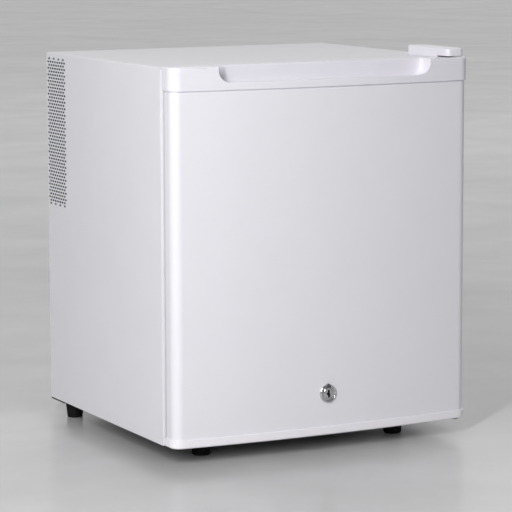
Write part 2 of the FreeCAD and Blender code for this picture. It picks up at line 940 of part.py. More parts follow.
cold_base_back = inner_back - size("cold_base_thick")
module_front = foam_back - size("module_sunk")
hot_base_front = module_front + size("module_thick")
hot_base_back = hot_base_front + size("hot_base_thick")
hot_fin_back = hot_base_back + size("hot_fin_depth")
cold_base_front = cold_base_back - size("cold_base_thick")
cold_fin_front = cold_base_front - size("cold_fin_depth")
cold_fan_back = cold_fin_front - play
cold_fan_front = cold_fan_back - size("cold_fan_depth")
cold_cover_inside = cold_fan_front
cold_cover_front = cold_cover_inside - size("cold_cover_wall")
passage = size("cold_block_side") / 2 + size("cold_passage_play")
FOUR_CORNERS = ((-1, -1), (-1, 1), (1, -1), (1, 1))
hot_screw_places = [
    (side_x * (size("hot_base_width") / 2 - size("hot_screw_side_inset")),
     module_z + side_z * (size("hot_base_height") / 2 - size("hot_screw_edge_inset")))
    for side_x, side_z in FOUR_CORNERS
]


def opening_through(name, y_low, y_high, half_side):
    """A square hole round the cooler's middle."""
    return block(name, (-half_side, y_low, module_z - half_side), (half_side, y_high, module_z + half_side))


back_holes = [opening_through("back_passage", foam_back - overrun, panel_back + overrun, passage)] + [
    rod(f"back_hole_{n}", "y", (x, foam_back - overrun, z), small_hole, 2 * overrun)
    for n, (x, z) in enumerate(hot_screw_places)
]
foam_half = half - gauge - size("pan_sheet")
foam_low = base + size("pan_sheet")
node(cut(
    "back_panel",
    block("back_sheet_block", (-foam_half, foam_back, foam_low), (foam_half, panel_back, top - 2 * gauge)),
    *back_holes,
), "back_panel")

# Insulated box

liner_low = front + gauge
strike_front = liner_low + size("liner_wall")
cam_pocket_inside = (
    (-size("cam_width") / 2 - size("cam_pocket_side"), strike_front,
     lock_z - size("cam_reach") - size("cam_pocket_below")),
    (size("cam_reach") + size("cam_pocket_side"),
     front + size("lock_body_behind") + size("cam_gap") + size("cam_thick") + size("cam_pocket_behind"),
     floor + overrun),
)
strike_slot_left = -size("cam_width") / 2 - size("strike_side") + play
strike_slot_right = size("cam_reach") + size("strike_side") - play
strike_left = strike_slot_left - play - size("strike_end")
strike_right = strike_slot_right + play + size("strike_end")
strike_screw_y = strike_front + size("strike_depth") / 2
strike_screw_places = [strike_left + size("strike_end") / 2, strike_right - size("strike_end") / 2]


def grown(box, amount):
    """A box's corners moved out by an amount, apart from its upper face."""
    low, high = box
    return ((low[0] - amount, low[1] - amount, low[2] - amount),
            (high[0] + amount, high[1] + amount, high[2]))


def rounded_cavity(name, grow, y_low, y_high):
    """The liner's form: a block with rounded long edges and a rounded rear rim."""
    solid = block(f"{name}_block", (-inner_half - grow, y_low, floor - grow),
                  (inner_half + grow, y_high, ceiling + grow))
    back = as_size(y_high).value
    return round_edges(name, solid, size("liner_corner") + grow, lambda edge: (
        runs_along(edge, "y") or abs(middle(edge).y - back) < gauge.value))


cam_shell = grown(cam_pocket_inside, size("liner_wall"))


def liner_envelope(name):
    """The whole outside of the liner behind its front flange, cam pocket included."""
    return fuse(
        name,
        rounded_cavity(f"{name}_form", size("liner_wall"), liner_low, inner_back + size("liner_wall")),
        block(f"{name}_pocket", (cam_shell[0][0], liner_low, cam_shell[0][2]),
              (cam_shell[1][0], cam_shell[1][1], floor)),
    )


shelf_levels = {
    "spare": floor + size("spare_ledge_rise"),
    "lower": floor + size("lower_shelf_rise"),
    "upper": floor + size("upper_shelf_rise"),
}


def inner_liner():
    """The moulded white tub with its front flange, shelf ledges and the pocket for the cam."""
    pieces = [
        liner_envelope("liner_outside"),
        block("liner_flange", (-foam_half, liner_low, foam_low),
              (foam_half, strike_front, top - 2 * gauge)),
    ]
    inside = cut(
        "liner_shell",
        fuse("liner_mass", *pieces),
        rounded_cavity("liner_inside", as_size(0), front - overrun, inner_back),
        block("liner_cam_pocket", *cam_pocket_inside),
        opening_through("liner_passage", inner_back - overrun, inner_back + overrun, passage),
        *[rod(f"liner_strike_hole_{n}", "z", (x, strike_screw_y, floor - overrun), small_hole, 2 * overrun)
          for n, x in enumerate(strike_screw_places)],
    )
    ledges = []
    for word, level in shelf_levels.items():
        for end, side in (("left", -1), ("right", 1)):
            stretch = inward(side, size("side_wall") - size("ledge_tuck"),
                             size("side_wall") + size("ledge_depth"))
            ledges.append(block(
                f"ledge_{word}_{end}",
                (stretch[0], front + size("ledge_front"), level - size("ledge_height")),
                (stretch[1], front + size("ledge_front") + size("ledge_length"), level),
            ))
    return node(fuse("inner_liner", inside, *ledges), "inner_liner")


inner_liner()

def insulation_foam():
    """The foam between the liner and the case, with wells for what reaches into it."""
    wells = [liner_envelope("foam_liner_space"),
             opening_through("foam_passage", foam_back - size("foam_depth"), foam_back + overrun, passage)]
    for word, side in (("left", -1), ("right", 1)):
        wells.append(rod(f"foam_{word}_stud_well", "z",
                         (front_foot_x[side], front + size("front_foot_y"), foam_low - overrun),
                         size("foot_nut_radius") + play,
                         overrun + size("foot_nut_height") + size("front_stud_length")))
    for n, y in enumerate(bottom_hinge_screw_places):
        wells.append(rod(f"foam_low_screw_well_{n}", "z", (hinge_x, y, foam_low - overrun),
                         hinge_hole, overrun + size("hinge_screw_length")))
    for n, y in enumerate(top_hinge_screw_places):
        wells.append(rod(f"foam_top_screw_well_{n}", "z", (hinge_x, y, top - size("hinge_screw_length")),
                         hinge_hole, size("hinge_screw_length") + overrun))
    for n, x in enumerate(strike_screw_places):
        wells.append(rod(f"foam_strike_well_{n}", "z",
                         (x, strike_screw_y, floor - size("small_screw_length")),
                         small_hole, size("small_screw_length") + overrun))
    for n, (x, z) in enumerate(hot_screw_places):
        wells.append(rod(f"foam_sink_well_{n}", "y", (x, foam_back - size("small_screw_length"), z),
                         small_hole, size("small_screw_length") + overrun))
    mass = block("foam_block", (-foam_half, strike_front, foam_low),
                 (foam_half, foam_back, top - 2 * gauge))
    return node(cut("insulation_foam", mass, *wells), "insulation_foam")


insulation_foam()

# Lock strike: a steel plate over the floor's front edge, slotted for the cam

node(cut(
    "lock_strike",
    fuse(
        "strike_angle",
        block("strike_plate", (strike_left, strike_front, floor),
              (strike_right, strike_front + size("strike_depth"), floor + size("strike_thick"))),
        block("strike_flange", (strike_slot_left, strike_front, floor - size("strike_drop")),
              (strike_slot_right, strike_front + size("strike_thick"), floor + size("strike_thick"))),
    ),
    block("strike_slot",
          (strike_slot_left, strike_front + size("strike_thick"), floor - overrun),
          (strike_slot_right, cam_pocket_inside[1][1], floor + overrun)),
    *[rod(f"strike_hole_{n}", "z", (x, strike_screw_y, floor - overrun), small_hole, 2 * overrun)
      for n, x in enumerate(strike_screw_places)],
), "lock_strike")
node(group("strike_screws", *[
    screw(f"strike_screw_{n}", "z", (x, strike_screw_y, floor + size("strike_thick")), -1,
          SMALL_HEAD, SMALL_SHANK)
    for n, x in enumerate(strike_screw_places)
]), "strike_screws")

# Wire shelves


def wire_shelf(name, level):
    """A frame of thick wire with rounded corners, and thin wires across it from front to rear."""
    wire = size("shelf_wire")
    thin = size("shelf_thin_wire")
    corner = size("shelf_corner")
    reach = inner_half - size("shelf_side_gap") - wire
    y_low = front + size("shelf_front") + wire
    y_high = y_low + size("shelf_length")
    z = level + wire
    pieces = [
        rod(f"{name}_front", "x", (corner - reach, y_low, z), wire, 2 * (reach - corner)),
        rod(f"{name}_rear", "x", (corner - reach, y_high, z), wire, 2 * (reach - corner)),
        rod(f"{name}_left", "y", (-reach, y_low + corner, z), wire, y_high - y_low - 2 * corner),
        rod(f"{name}_right", "y", (reach, y_low + corner, z), wire, y_high - y_low - 2 * corner),
    ]
    for word, x, y, angle in (
        ("front_left", corner - reach, y_low + corner, 180),
        ("front_right", reach - corner, y_low + corner, 270),
        ("rear_right", reach - corner, y_high - corner, 0),
        ("rear_left", corner - reach, y_high - corner, 90),
    ):
        bend = doc.addObject("Part::Torus", f"{name}_{word}")
        bind(bend, "Radius1", corner)
        bind(bend, "Radius2", wire)
        bend.Angle3 = 90
        bend.Placement.Rotation = FreeCAD.Rotation(FreeCAD.Vector(0, 0, 1), angle)
        place(bend, (x, y, z))
        pieces.append(bend)
    wires = count("shelf_wires")
    for n in range(wires):
        x = (reach - corner - wire) * (2 * n / (wires - 1) - 1)
        pieces.append(rod(f"{name}_wire_{n}", "y", (x, y_low, z + wire - size("shelf_wire_bite")), thin,
                          y_high - y_low))
    return node(fuse(name, *pieces), name)


wire_shelf("lower_shelf", shelf_levels["lower"])
wire_shelf("upper_shelf", shelf_levels["upper"])

# Cooler

block_half = size("cold_block_side") / 2
node(block("cold_block", (-block_half, cold_base_back, module_z - block_half),
           (block_half, module_front, module_z + block_half)), "cold_block")
node(block("peltier_module", (-size("module_side") / 2, module_front, module_z - size("module_side") / 2),
           (size("module_side") / 2, hot_base_front, module_z + size("module_side") / 2)), "peltier_module")


def finned_sink(name, spot, base_size, fin, copies, span, back):
    """A plate with a row of fins on it; back says whether the fins point to the rear."""
    width, height, thick = base_size
    fin_thick, fin_depth, fin_height = fin
    body = new_body(name, spot)
    outline = new_sketch(body, "XZ_Plane", f"{name}_outline")
    rectangle(outline, (-width / 2, -height / 2), (width / 2, height / 2))
    pad(body, outline, f"{name}_plate", thick, backwards=back)
    comb = new_sketch(body, "XZ_Plane", f"{name}_fin_outline")
    rectangle(comb, (-span / 2, -fin_height / 2), (fin_thick - span / 2, fin_height / 2))
    fins = pad(body, comb, f"{name}_fin", thick + fin_depth, backwards=back)
    repeat_along(body, [fins], f"{name}_fins", "H_Axis", span - fin_thick, copies)
    return body


cold_size = (size("cold_base_width"), size("cold_base_height"), size("cold_base_thick"))
cold_fin = (size("cold_fin_thick"), size("cold_fin_depth"), size("cold_base_height"))
node(finned_sink("cold_sink", (0, cold_base_back, module_z), cold_size, cold_fin,
                 count("cold_fins"), size("cold_base_width"), False), "cold_sink")
hot_size = (size("hot_base_width"), size("hot_base_height"), size("hot_base_thick"))
hot_fin = (size("hot_fin_thick"), size("hot_fin_depth"), size("hot_fin_height"))
hot_plain = finned_sink("hot_sink_body", (0, hot_base_front, module_z), hot_size, hot_fin,
                        count("hot_fins"), size("hot_fin_span"), True)
node(cut("hot_sink", hot_plain, *[
    rod(f"hot_sink_hole_{n}", "y", (x, hot_base_front - overrun, z), small_hole,
        2 * overrun + size("hot_base_thick"))
    for n, (x, z) in enumerate(hot_screw_places)
]), "hot_sink")
sink_shank = (size("small_screw_shank"), hot_base_back - foam_back + size("small_screw_length") / 2)
node(group("hot_sink_screws", *[
    screw(f"sink_screw_{n}", "y", (x, hot_base_back, z), -1, SMALL_HEAD, sink_shank)
    for n, (x, z) in enumerate(hot_screw_places)
]), "hot_sink_screws")


def fan(name, side, depth, y_low, body_back):
    """A square fan: its frame and its rotor; body_back is 1 where the motor plate is at the rear."""
    bore = side / 2 - size("fan_wall")
    middle_z = module_z
    plate = size("fan_hub_plate")
    plate_low = y_low + depth - plate if body_back > 0 else y_low
    corner = side / 2 - size("fan_hole_inset")
    strut = size("fan_strut_width") / 2
    struts = [
        block(f"{name}_strut_upright", (-strut, plate_low, middle_z - side / 2 + size("fan_wall") / 2),
              (strut, plate_low + plate, middle_z + side / 2 - size("fan_wall") / 2)),
        block(f"{name}_strut_level", (-side / 2 + size("fan_wall") / 2, plate_low, middle_z - strut),
              (side / 2 - size("fan_wall") / 2, plate_low + plate, middle_z + strut)),
        rod(f"{name}_hub_plate", "y", (0, plate_low, middle_z), size("fan_hub_radius"), plate),
    ]
    shell = cut(
        f"{name}_shell",
        block(f"{name}_square", (-side / 2, y_low, middle_z - side / 2),
              (side / 2, y_low + depth, middle_z + side / 2)),
        rod(f"{name}_bore", "y", (0, y_low - overrun, middle_z), bore, depth + 2 * overrun),
        *[rod(f"{name}_hole_{n}", "y", (side_x * corner, y_low - overrun, middle_z + side_z * corner),
              size("fan_hole_radius"), depth + 2 * overrun)
          for n, (side_x, side_z) in enumerate(FOUR_CORNERS)],
    )
    axle_hole = rod(f"{name}_axle_hole", "y", (0, plate_low - overrun, middle_z),
                    size("fan_axle_radius") + size("fan_axle_play"), plate + 2 * overrun)
    node(cut(f"{name}_frame", fuse(f"{name}_frame_mass", shell, *struts), axle_hole), f"{name}_frame")

    gap = size("fan_rotor_gap")
    hub_length = depth - plate - 2 * gap
    rotor_low = y_low + gap if body_back > 0 else y_low + plate + gap
    body = new_body(f"{name}_rotor_body", (0, rotor_low, middle_z))
    hub = new_sketch(body, "XZ_Plane", f"{name}_hub_outline")
    circle(hub, 0, 0, size("fan_hub_radius"))
    pad(body, hub, f"{name}_hub", hub_length, backwards=True)
    vane = new_sketch(body, "YZ_Plane", f"{name}_vane_outline")
    lean = hub_length * VANE_LEAN_SHARE
    inset = hub_length * VANE_INSET_SHARE
    thick = size("fan_blade_thick")
    polygon(vane, [(inset, -lean), (inset + thick, -lean), (hub_length - inset, lean),
                   (hub_length - inset - thick, lean)])
    blade = pad(body, vane, f"{name}_blade", bore - size("fan_tip_gap"))
    repeat_round(body, [blade], f"{name}_blades", count("fan_blades"), (hub, ["N_Axis"]))
    axle_low = rotor_low + hub_length - play if body_back > 0 else rotor_low - plate - gap
    axle = rod(f"{name}_axle", "y", (0, axle_low, middle_z), size("fan_axle_radius"), plate + gap + play)
    node(fuse(f"{name}_rotor", body, axle), f"{name}_rotor")


VANE_LEAN_SHARE = 0.42
VANE_INSET_SHARE = 0.08
fan_screw_out = size("hot_fan_side") / 2 - size("fan_hole_inset")
fan("hot_fan", size("hot_fan_side"), size("hot_fan_depth"), hot_fin_back, 1)
fan("cold_fan", size("cold_fan_side"), size("cold_fan_depth"), cold_fan_front, -1)


def cold_fan_cover():
    """The white box over the cold side: a round grille in front and outlet slots in its sides."""
    wall = size("cold_cover_wall")
    high = size("cold_cover_height") / 2
    wide = size("cold_cover_half")
    outside = block("cold_cover_block", (-wide, cold_cover_front, module_z - high),
                    (wide, inner_back, module_z + high))
    outside = round_edges("cold_cover_outside", outside, size("cold_cover_corner"), lambda edge: (
        runs_along(edge, "y")))
    inside = block("cold_cover_inside", (wall - wide, cold_cover_inside, module_z - high + wall),
                   (wide - wall, inner_back + overrun, module_z + high - wall))
    bore = size("cold_fan_side") / 2 - size("fan_wall")
    opening = rod("cold_cover_mouth", "y", (0, cold_cover_front - overrun, module_z), bore,
                  overrun + wall + play)
    slots = []
    for end, side in (("left", -1), ("right", 1)):
        for n in range(count("outlet_slots")):
            y = inner_back - size("outlet_slot_pitch") * (n + 1)
            slots.append(block(
                f"cold_outlet_{end}_{n}",
                (side * wide - overrun, y, module_z - size("outlet_slot_height") / 2),
                (side * wide + overrun, y + size("outlet_slot_width"),
                 module_z + size("outlet_slot_height") / 2),
            ))
    shell = cut("cold_cover_shell", outside, inside, opening, *slots)
    grille = []
    rings = count("grille_rings")
    ring_wide = size("grille_ring_width")
    for n in range(rings):
        radius = bore * (n + 1) / (rings + 1)
        grille.append(cut(
            f"grille_ring_{n}",
            rod(f"grille_ring_{n}_outer", "y", (0, cold_cover_front, module_z), radius, wall),
            rod(f"grille_ring_{n}_inner", "y", (0, cold_cover_front - overrun, module_z), radius - ring_wide,
                wall + 2 * overrun),
        ))
    spokes = count("grille_spokes")
    for n in range(spokes // 2):
        spoke = doc.addObject("Part::Box", f"grille_spoke_{n}")
        bind(spoke, "Length", 2 * (bore + wall))
        bind(spoke, "Width", wall)
        bind(spoke, "Height", size("grille_spoke_width"))
        angle = 180 * n / (spokes // 2)
        spoke.Placement.Rotation = FreeCAD.Rotation(FreeCAD.Vector(0, 1, 0), angle)
        along = bore + wall
        up = size("grille_spoke_width") / 2
        cosine, sine = math.cos(math.radians(angle)), math.sin(math.radians(angle))
        place(spoke, (-along * cosine - up * sine, cold_cover_front, module_z + along * sine - up * cosine))
        grille.append(spoke)
    return node(fuse("cold_fan_cover", shell, *grille), "cold_fan_cover")


cold_fan_cover()

# Electrics in the rear space

supply_left = -half + size("supply_left") - size("supply_length")
supply_low = base + size("supply_rise")
supply_back = panel_back + size("supply_depth")
SUPPLY_VENT_HEIGHT_SHARES = (0.2, 0.8)
SUPPLY_VENT_PLACE_SHARES = (0.15, 0.3, 0.45, 0.6, 0.75)
supply_case = cut(
    "supply_shell",
    block("supply_block", (supply_left, panel_back, supply_low),
          (supply_left + size("supply_length"), supply_back, supply_low + size("supply_height"))),
    block("supply_hollow",
          (supply_left + size("supply_wall"), panel_back - overrun, supply_low + size("supply_wall")),
          (supply_left + size("supply_length") - size("supply_wall"), supply_back - size("supply_wall"),
           supply_low + size("supply_height") - size("supply_wall"))),
    *[block(f"supply_vent_{n}",
            (supply_left + size("supply_length") * share, supply_back - overrun,
             supply_low + size("supply_height") * SUPPLY_VENT_HEIGHT_SHARES[0]),
            (supply_left + size("supply_length") * share + size("cover_slot_height"), supply_back + overrun,
             supply_low + size("supply_height") * SUPPLY_VENT_HEIGHT_SHARES[1]))
      for n, share in enumerate(SUPPLY_VENT_PLACE_SHARES)],
)
node(supply_case, "power_supply_case")


# Shares of the board's width and height: where a part stands, then its size
CAPACITOR_SHARES = ((0.2, 0.3, 1), (0.2, 0.62, 1), (0.38, 0.3, 0.5))
BOARD_PART_SHARES = ((0.5, 0.15, 0.3, 0.25), (0.45, 0.55, 0.12, 0.3), (0.65, 0.5, 0.25, 0.12),
                     (0.65, 0.75, 0.2, 0.12))


def control_board():
    """A circuit board on four posts, with its parts."""
    left = half - size("board_left")
    low = base + size("board_rise")
    wide, high = size("board_width"), size("board_height")
    face = panel_back + size("board_post")
    back = face + size("board_thick")
    inset = size("board_post_inset")
    pieces = [block("board_sheet", (left, face, low), (left + wide, back, low + high))]
    for n, (x, z) in enumerate(((inset, inset), (wide - inset, inset), (inset, high - inset),
                                (wide - inset, high - inset))):
        pieces.append(rod(f"board_post_{n}", "y", (left + x, panel_back, low + z),
                          size("board_post_radius"), size("board_post")))
    tall, short = size("part_tall"), size("part_low")
    for n, (x_share, z_share, radius_share) in enumerate(CAPACITOR_SHARES):
        pieces.append(rod(f"board_capacitor_{n}", "y", (left + wide * x_share, back, low + high * z_share),
                          short * radius_share, tall))
    for n, (x_share, z_share, length_share, height_share) in enumerate(BOARD_PART_SHARES):
        pieces.append(block(
            f"board_part_{n}",
            (left + wide * x_share, back, low + high * z_share),
            (left + wide * (x_share + length_share), back + (tall if n == 0 else short),
             low + high * (z_share + height_share)),
        ))
    return node(fuse("control_board", *pieces), "control_board")


control_board()


def power_inlet():
    """The mains inlet: a flanged shell with three flat pins, open to the rear."""
    wide, high = size("inlet_width") / 2, size("inlet_height") / 2
    wall = size("inlet_wall")
    flange = size("inlet_flange")
    deep = rear - size("inlet_depth")
    mass = fuse(
        "inlet_mass",
        block("inlet_shell", (inlet_x - wide, deep, inlet_z - high),
              (inlet_x + wide, rear + size("inlet_flange_thick"), inlet_z + high)),
        block("inlet_flange_block", (inlet_x - wide - flange, rear, inlet_z - high - wall),
              (inlet_x + wide + flange, rear + size("inlet_flange_thick"), inlet_z + high + wall)),
    )
    hollow = block("inlet_hollow", (inlet_x - wide + wall, deep + wall, inlet_z - high + wall),
                   (inlet_x + wide - wall, rear + overrun, inlet_z + high - wall))
    pitch = size("inlet_pin_pitch")
    thin = size("inlet_pin_thick") / 2
    tall = size("inlet_pin_width") / 2
    pins = []
    for n, (x, z) in enumerate(((-pitch, -tall), (0, tall), (pitch, -tall))):
        pins.append(block(f"inlet_pin_{n}", (inlet_x + x - thin, deep, inlet_z + z - tall),
                          (inlet_x + x + thin, deep + size("inlet_pin_length"), inlet_z + z + tall)))
    return node(fuse("power_inlet", cut("inlet_socket", mass, hollow), *pins), "power_inlet")


power_inlet()

node(group("hot_fan_screws", *[
    screw(f"fan_screw_{number}", "y",
          (side_x * fan_screw_out, hot_fin_back + size("hot_fan_depth"),
           module_z + side_z * fan_screw_out), -1,
          SMALL_HEAD, (size("small_screw_shank"), size("hot_fan_depth") + size("fan_screw_bite")))
    for number, (side_x, side_z) in enumerate(FOUR_CORNERS)
]), "hot_fan_screws")

# Temperature control and light, on the right wall

control_left = inner_half - size("control_depth")
control_low_y = front + size("control_front")
control_high_y = control_low_y + size("control_length")
control_high = ceiling - size("control_drop")
control_low = control_high - size("control_height")
control_wall = size("control_wall")
knob_y = control_low_y + size("knob_from_front")
knob_z = (control_low + control_high) / 2
lens_high_y = control_high_y - size("lens_from_rear")
lens_low_y = lens_high_y - size("lens_length")
lens_low = knob_z - size("lens_height") / 2
lens_high = knob_z + size("lens_height") / 2


def thermostat_housing():
    """A box that is open toward the liner's wall, with holes for the knob's axle and the lens."""
    mass = block("control_block", (control_left, control_low_y, control_low),
                 (inner_half, control_high_y, control_high))
    left = control_left.value
    outside = round_edges("control_outside", mass, size("control_corner"), lambda edge: (
        abs(middle(edge).x - left) < gauge.value))
    return node(cut(
        "thermostat_housing",
        outside,
        block("control_hollow",
              (control_left + control_wall, control_low_y + control_wall, control_low + control_wall),
              (inner_half + overrun, control_high_y - control_wall, control_high - control_wall)),
        block("lens_window", (control_left - overrun, lens_low_y, lens_low),
              (control_left + overrun, lens_high_y, lens_high)),
        rod("knob_bore", "x", (control_left - overrun, knob_y, knob_z),
            size("knob_axle_radius") + size("knob_axle_play"), 2 * overrun),
    ), "thermostat_housing")


thermostat_housing()
node(block("light_lens", (control_left, lens_low_y, lens_low),
           (control_left + size("lens_thick"), lens_high_y, lens_high)), "light_lens")


def light_board():
    """A strip of circuit board between the housing's upper and lower walls, with six lamps."""
    face = control_left + control_wall + size("lamp_height")
    pieces = [block("light_sheet",
                    (face, lens_low_y - size("light_board_inset"), control_low + control_wall),
                    (face + size("light_board_thick"), lens_high_y, control_high - control_wall))]
    for row in range(count("lamp_rows")):
        for column in range(count("lamp_columns")):
            y = lens_low_y + size("lens_length") * (2 * column + 1) / (2 * count("lamp_columns"))
            z = lens_low + size("lens_height") * (2 * row + 1) / (2 * count("lamp_rows"))
            pieces.append(rod(f"lamp_{row}_{column}", "x", (face - size("lamp_height"), y, z),
                              size("lamp_radius"), size("lamp_height")))
    return node(fuse("light_board", *pieces), "light_board")


light_board()


def temperature_knob():
    """A ribbed disc with a grip bar, and the axle that turns in the housing."""
    face = control_left - size("seat_gap")
    disc_thick = size("knob_height") - size("knob_grip_height")
    body = new_body("knob_body", (face, knob_y, knob_z))
    disc = new_sketch(body, "YZ_Plane", "knob_disc_outline")
    circle(disc, 0, 0, size("knob_radius") - size("knob_rib_radius"))
    pad(body, disc, "knob_disc", disc_thick, backwards=True)
    rib = new_sketch(body, "YZ_Plane", "knob_rib_outline")
    circle(rib, size("knob_radius") - size("knob_rib_radius"), 0, size("knob_rib_radius"))
    ribs = pad(body, rib, "knob_rib", disc_thick, backwards=True)
    repeat_round(body, [ribs], "knob_ribs", count("knob_ribs"))
    reach = size("knob_radius") - 2 * size("knob_rib_radius")
    half_grip = size("knob_grip_width") / 2
    bar = block("knob_bar", (face - size("knob_height"), knob_y - half_grip, knob_z - reach),
                (face, knob_y + half_grip, knob_z + reach))
    axle = rod("knob_axle", "x", (face - disc_thick, knob_y, knob_z), size("knob_axle_radius"),
               disc_thick + size("seat_gap") + control_wall + size("knob_axle_end"))
    return node(fuse("temperature_knob", body, bar, axle), "temperature_knob")


temperature_knob()

# Feet


def front_foot(name, side):
    """A levelling foot: a ribbed disc turned on a threaded stud."""
    height = base - size("seat_gap")
    wide = size("front_foot_radius")
    slope = size("front_foot_chamfer")
    stud = size("front_stud_radius")
    body = new_body(name, (front_foot_x[side], front + size("front_foot_y"), 0))
    profile = new_sketch(body, "XZ_Plane", f"{name}_profile")
    polygon(profile, [(0, 0), (wide - slope, 0), (wide, slope), (wide, height), (stud, height),
                      (stud, height + size("front_stud_length")), (0, height + size("front_stud_length"))])
    turn(body, profile, f"{name}_turned")
    notch = new_sketch(body, "XY_Plane", f"{name}_notch_outline")
    circle(notch, wide, 0, size("front_foot_grip"))
    first = pocket(body, notch, f"{name}_notch", height, backwards=True)
    repeat_round(body, [first], f"{name}_notches", count("foot_grips"))
    return node(body, name)


def rear_foot(name, side):
    """A tapered rubber foot with a well for its screw."""
    well = size("rear_foot_well")
    body = new_body(name, (side * size("rear_foot_x"), front + size("rear_foot_y"), 0))
    profile = new_sketch(body, "XZ_Plane", f"{name}_profile")
    polygon(profile, [(well, 0), (size("rear_foot_bottom"), 0), (size("rear_foot_top"), base),
                      (small_hole, base), (small_hole, size("rear_foot_well_depth")),
                      (well, size("rear_foot_well_depth"))])
    turn(body, profile, f"{name}_turned")
    return node(body, name)


front_foot("front_left_foot", -1)
front_foot("front_right_foot", 1)
rear_foot("rear_left_foot", -1)
rear_foot("rear_right_foot", 1)
node(group("foot_nuts", *[
    cut(f"foot_nut_{number}",
        prism(f"foot_nut_{number}_blank", "z",
              (front_foot_x[side], front + size("front_foot_y"), foam_low),
              size("foot_nut_radius"), size("foot_nut_height"), count("nut_sides")),
        rod(f"foot_nut_{number}_bore", "z",
            (front_foot_x[side], front + size("front_foot_y"), foam_low - overrun),
            size("front_stud_radius") + size("front_stud_play"), 2 * overrun + size("foot_nut_height")))
    for number, side in enumerate((-1, 1))
]), "foot_nuts")
node(group("rear_foot_screws", *[
    screw(f"foot_screw_{number}", "z",
          (side * size("rear_foot_x"), front + size("rear_foot_y"), size("rear_foot_well_depth")), 1,
          SMALL_HEAD, (size("small_screw_shank"), size("foot_screw_length")))
    for number, side in enumerate((-1, 1))
]), "rear_foot_screws")

# Hinges

arm = size("hinge_arm")
low_plate_top = base - size("bottom_hinge_drop")
low_plate = low_plate_top - size("hinge_plate")
low_plate_end = hinge_y + size("bottom_hinge_length")
high_plate = top + size("top_hinge_gap")
high_plate_top = high_plate + size("hinge_plate")

node(cut(
    "bottom_hinge_bracket",
    fuse(
        "low_hinge_pieces",
        block("low_hinge_arm", (hinge_x - arm, hinge_y, low_plate),
              (hinge_x + arm, low_plate_end, low_plate_top)),
        rod("low_hinge_end", "z", (hinge_x, hinge_y, low_plate), arm, size("hinge_plate")),
        block("low_hinge_pad", (hinge_x - arm, front, low_plate), (hinge_x + arm, low_plate_end, base)),
        rod("low_hinge_pin", "z", (hinge_x, hinge_y, low_plate), size("hinge_pin_radius"),
            size("hinge_plate") + size("hinge_pin_reach")),
    ),
    *[rod(f"low_hinge_hole_{number}", "z", (hinge_x, y, base - overrun), hinge_hole, 2 * overrun)
      for number, y in enumerate(bottom_hinge_screw_places)],
), "bottom_hinge_bracket")
node(cut(
    "top_hinge_bracket",
    fuse(
        "high_hinge_pieces",
        block("high_hinge_plate", (half - size("top_hinge_left"), hinge_y, high_plate),
              (half - size("top_hinge_right"), front + size("top_hinge_length"), high_plate_top)),
        rod("high_hinge_end", "z", (hinge_x, hinge_y, high_plate), arm, size("hinge_plate")),
        block("high_hinge_pad", (half - size("top_hinge_left"), front, top),
              (half - size("top_hinge_right"), front + size("top_hinge_length"), high_plate)),
        rod("high_hinge_pin", "z", (hinge_x, hinge_y, high_plate - size("hinge_pin_reach")),
            size("hinge_pin_radius"), size("hinge_pin_reach") + size("hinge_plate")),
    ),
    *[rod(f"high_hinge_hole_{number}", "z", (hinge_x, y, top - overrun), hinge_hole, 3 * overrun)
      for number, y in enumerate(top_hinge_screw_places)],
), "top_hinge_bracket")
node(group("bottom_hinge_screws", *[
    screw(f"low_hinge_screw_{number}", "z", (hinge_x, y, low_plate), 1, HINGE_HEAD, HINGE_SHANK)
    for number, y in enumerate(bottom_hinge_screw_places)
]), "bottom_hinge_screws")
node(group("top_hinge_screws", *[
    screw(f"high_hinge_screw_{number}", "z", (hinge_x, y, high_plate_top), -1, HINGE_HEAD, HINGE_SHANK)
    for number, y in enumerate(top_hinge_screw_places)
]), "top_hinge_screws")


def top_hinge_cover():
    """The white cap over the upper hinge; its front end stands clear of the door's top."""
    left = half - size("hinge_cover_left")
    right = half - size("hinge_cover_right")
    near = front - size("hinge_cover_front")
    far = front + size("hinge_cover_rear")
    high = top + size("hinge_cover_height")
    wall = size("hinge_cover_wall")
    mass = block("hinge_cover_block", (left, near, top), (right, far, high))
    cornered = round_edges("hinge_cover_corners", mass, size("hinge_cover_corner"), lambda edge: (
        runs_along(edge, "z")))
    upper = high.value
    smooth = round_edges("hinge_cover_outside", cornered, size("hinge_cover_edge"), lambda edge: (
        abs(middle(edge).z - upper) < gauge.value / 2))
    hollow = block("hinge_cover_hollow", (left + wall, near + wall, top - overrun),
                   (right - wall, far - wall, high - wall))
    inside = round_edges("hinge_cover_inside", hollow, size("hinge_cover_corner") - wall, lambda edge: (
        runs_along(edge, "z")))
    return node(cut(
        "top_hinge_cover", smooth, inside,
        block("hinge_cover_lift", (left - overrun, near - overrun, top - overrun),
              (right + overrun, front, top + size("hinge_cover_lift"))),
    ), "top_hinge_cover")


top_hinge_cover()


def hinge_bush(name, sleeve_low, rim_low):
    """A nylon bush in the door: a sleeve with a rim that faces the bracket."""
    length = size("hinge_bush_length")
    return node(cut(
        name,
        fuse(
            f"{name}_mass",
            rod(f"{name}_sleeve", "z", (hinge_x, hinge_y, sleeve_low), size("hinge_bush_radius"), length),
            rod(f"{name}_rim", "z", (hinge_x, hinge_y, rim_low), size("hinge_bush_flange"),
                size("hinge_bush_rim")),
        ),
        rod(f"{name}_bore", "z", (hinge_x, hinge_y, sleeve_low - overrun),
            size("hinge_pin_radius") + size("hinge_bush_play"), length + 2 * overrun),
    ), name)


hinge_bush("top_hinge_bush", door_top - size("hinge_bush_length"), door_top)
hinge_bush("bottom_hinge_bush", door_bottom, door_bottom - size("hinge_bush_rim"))

# Door

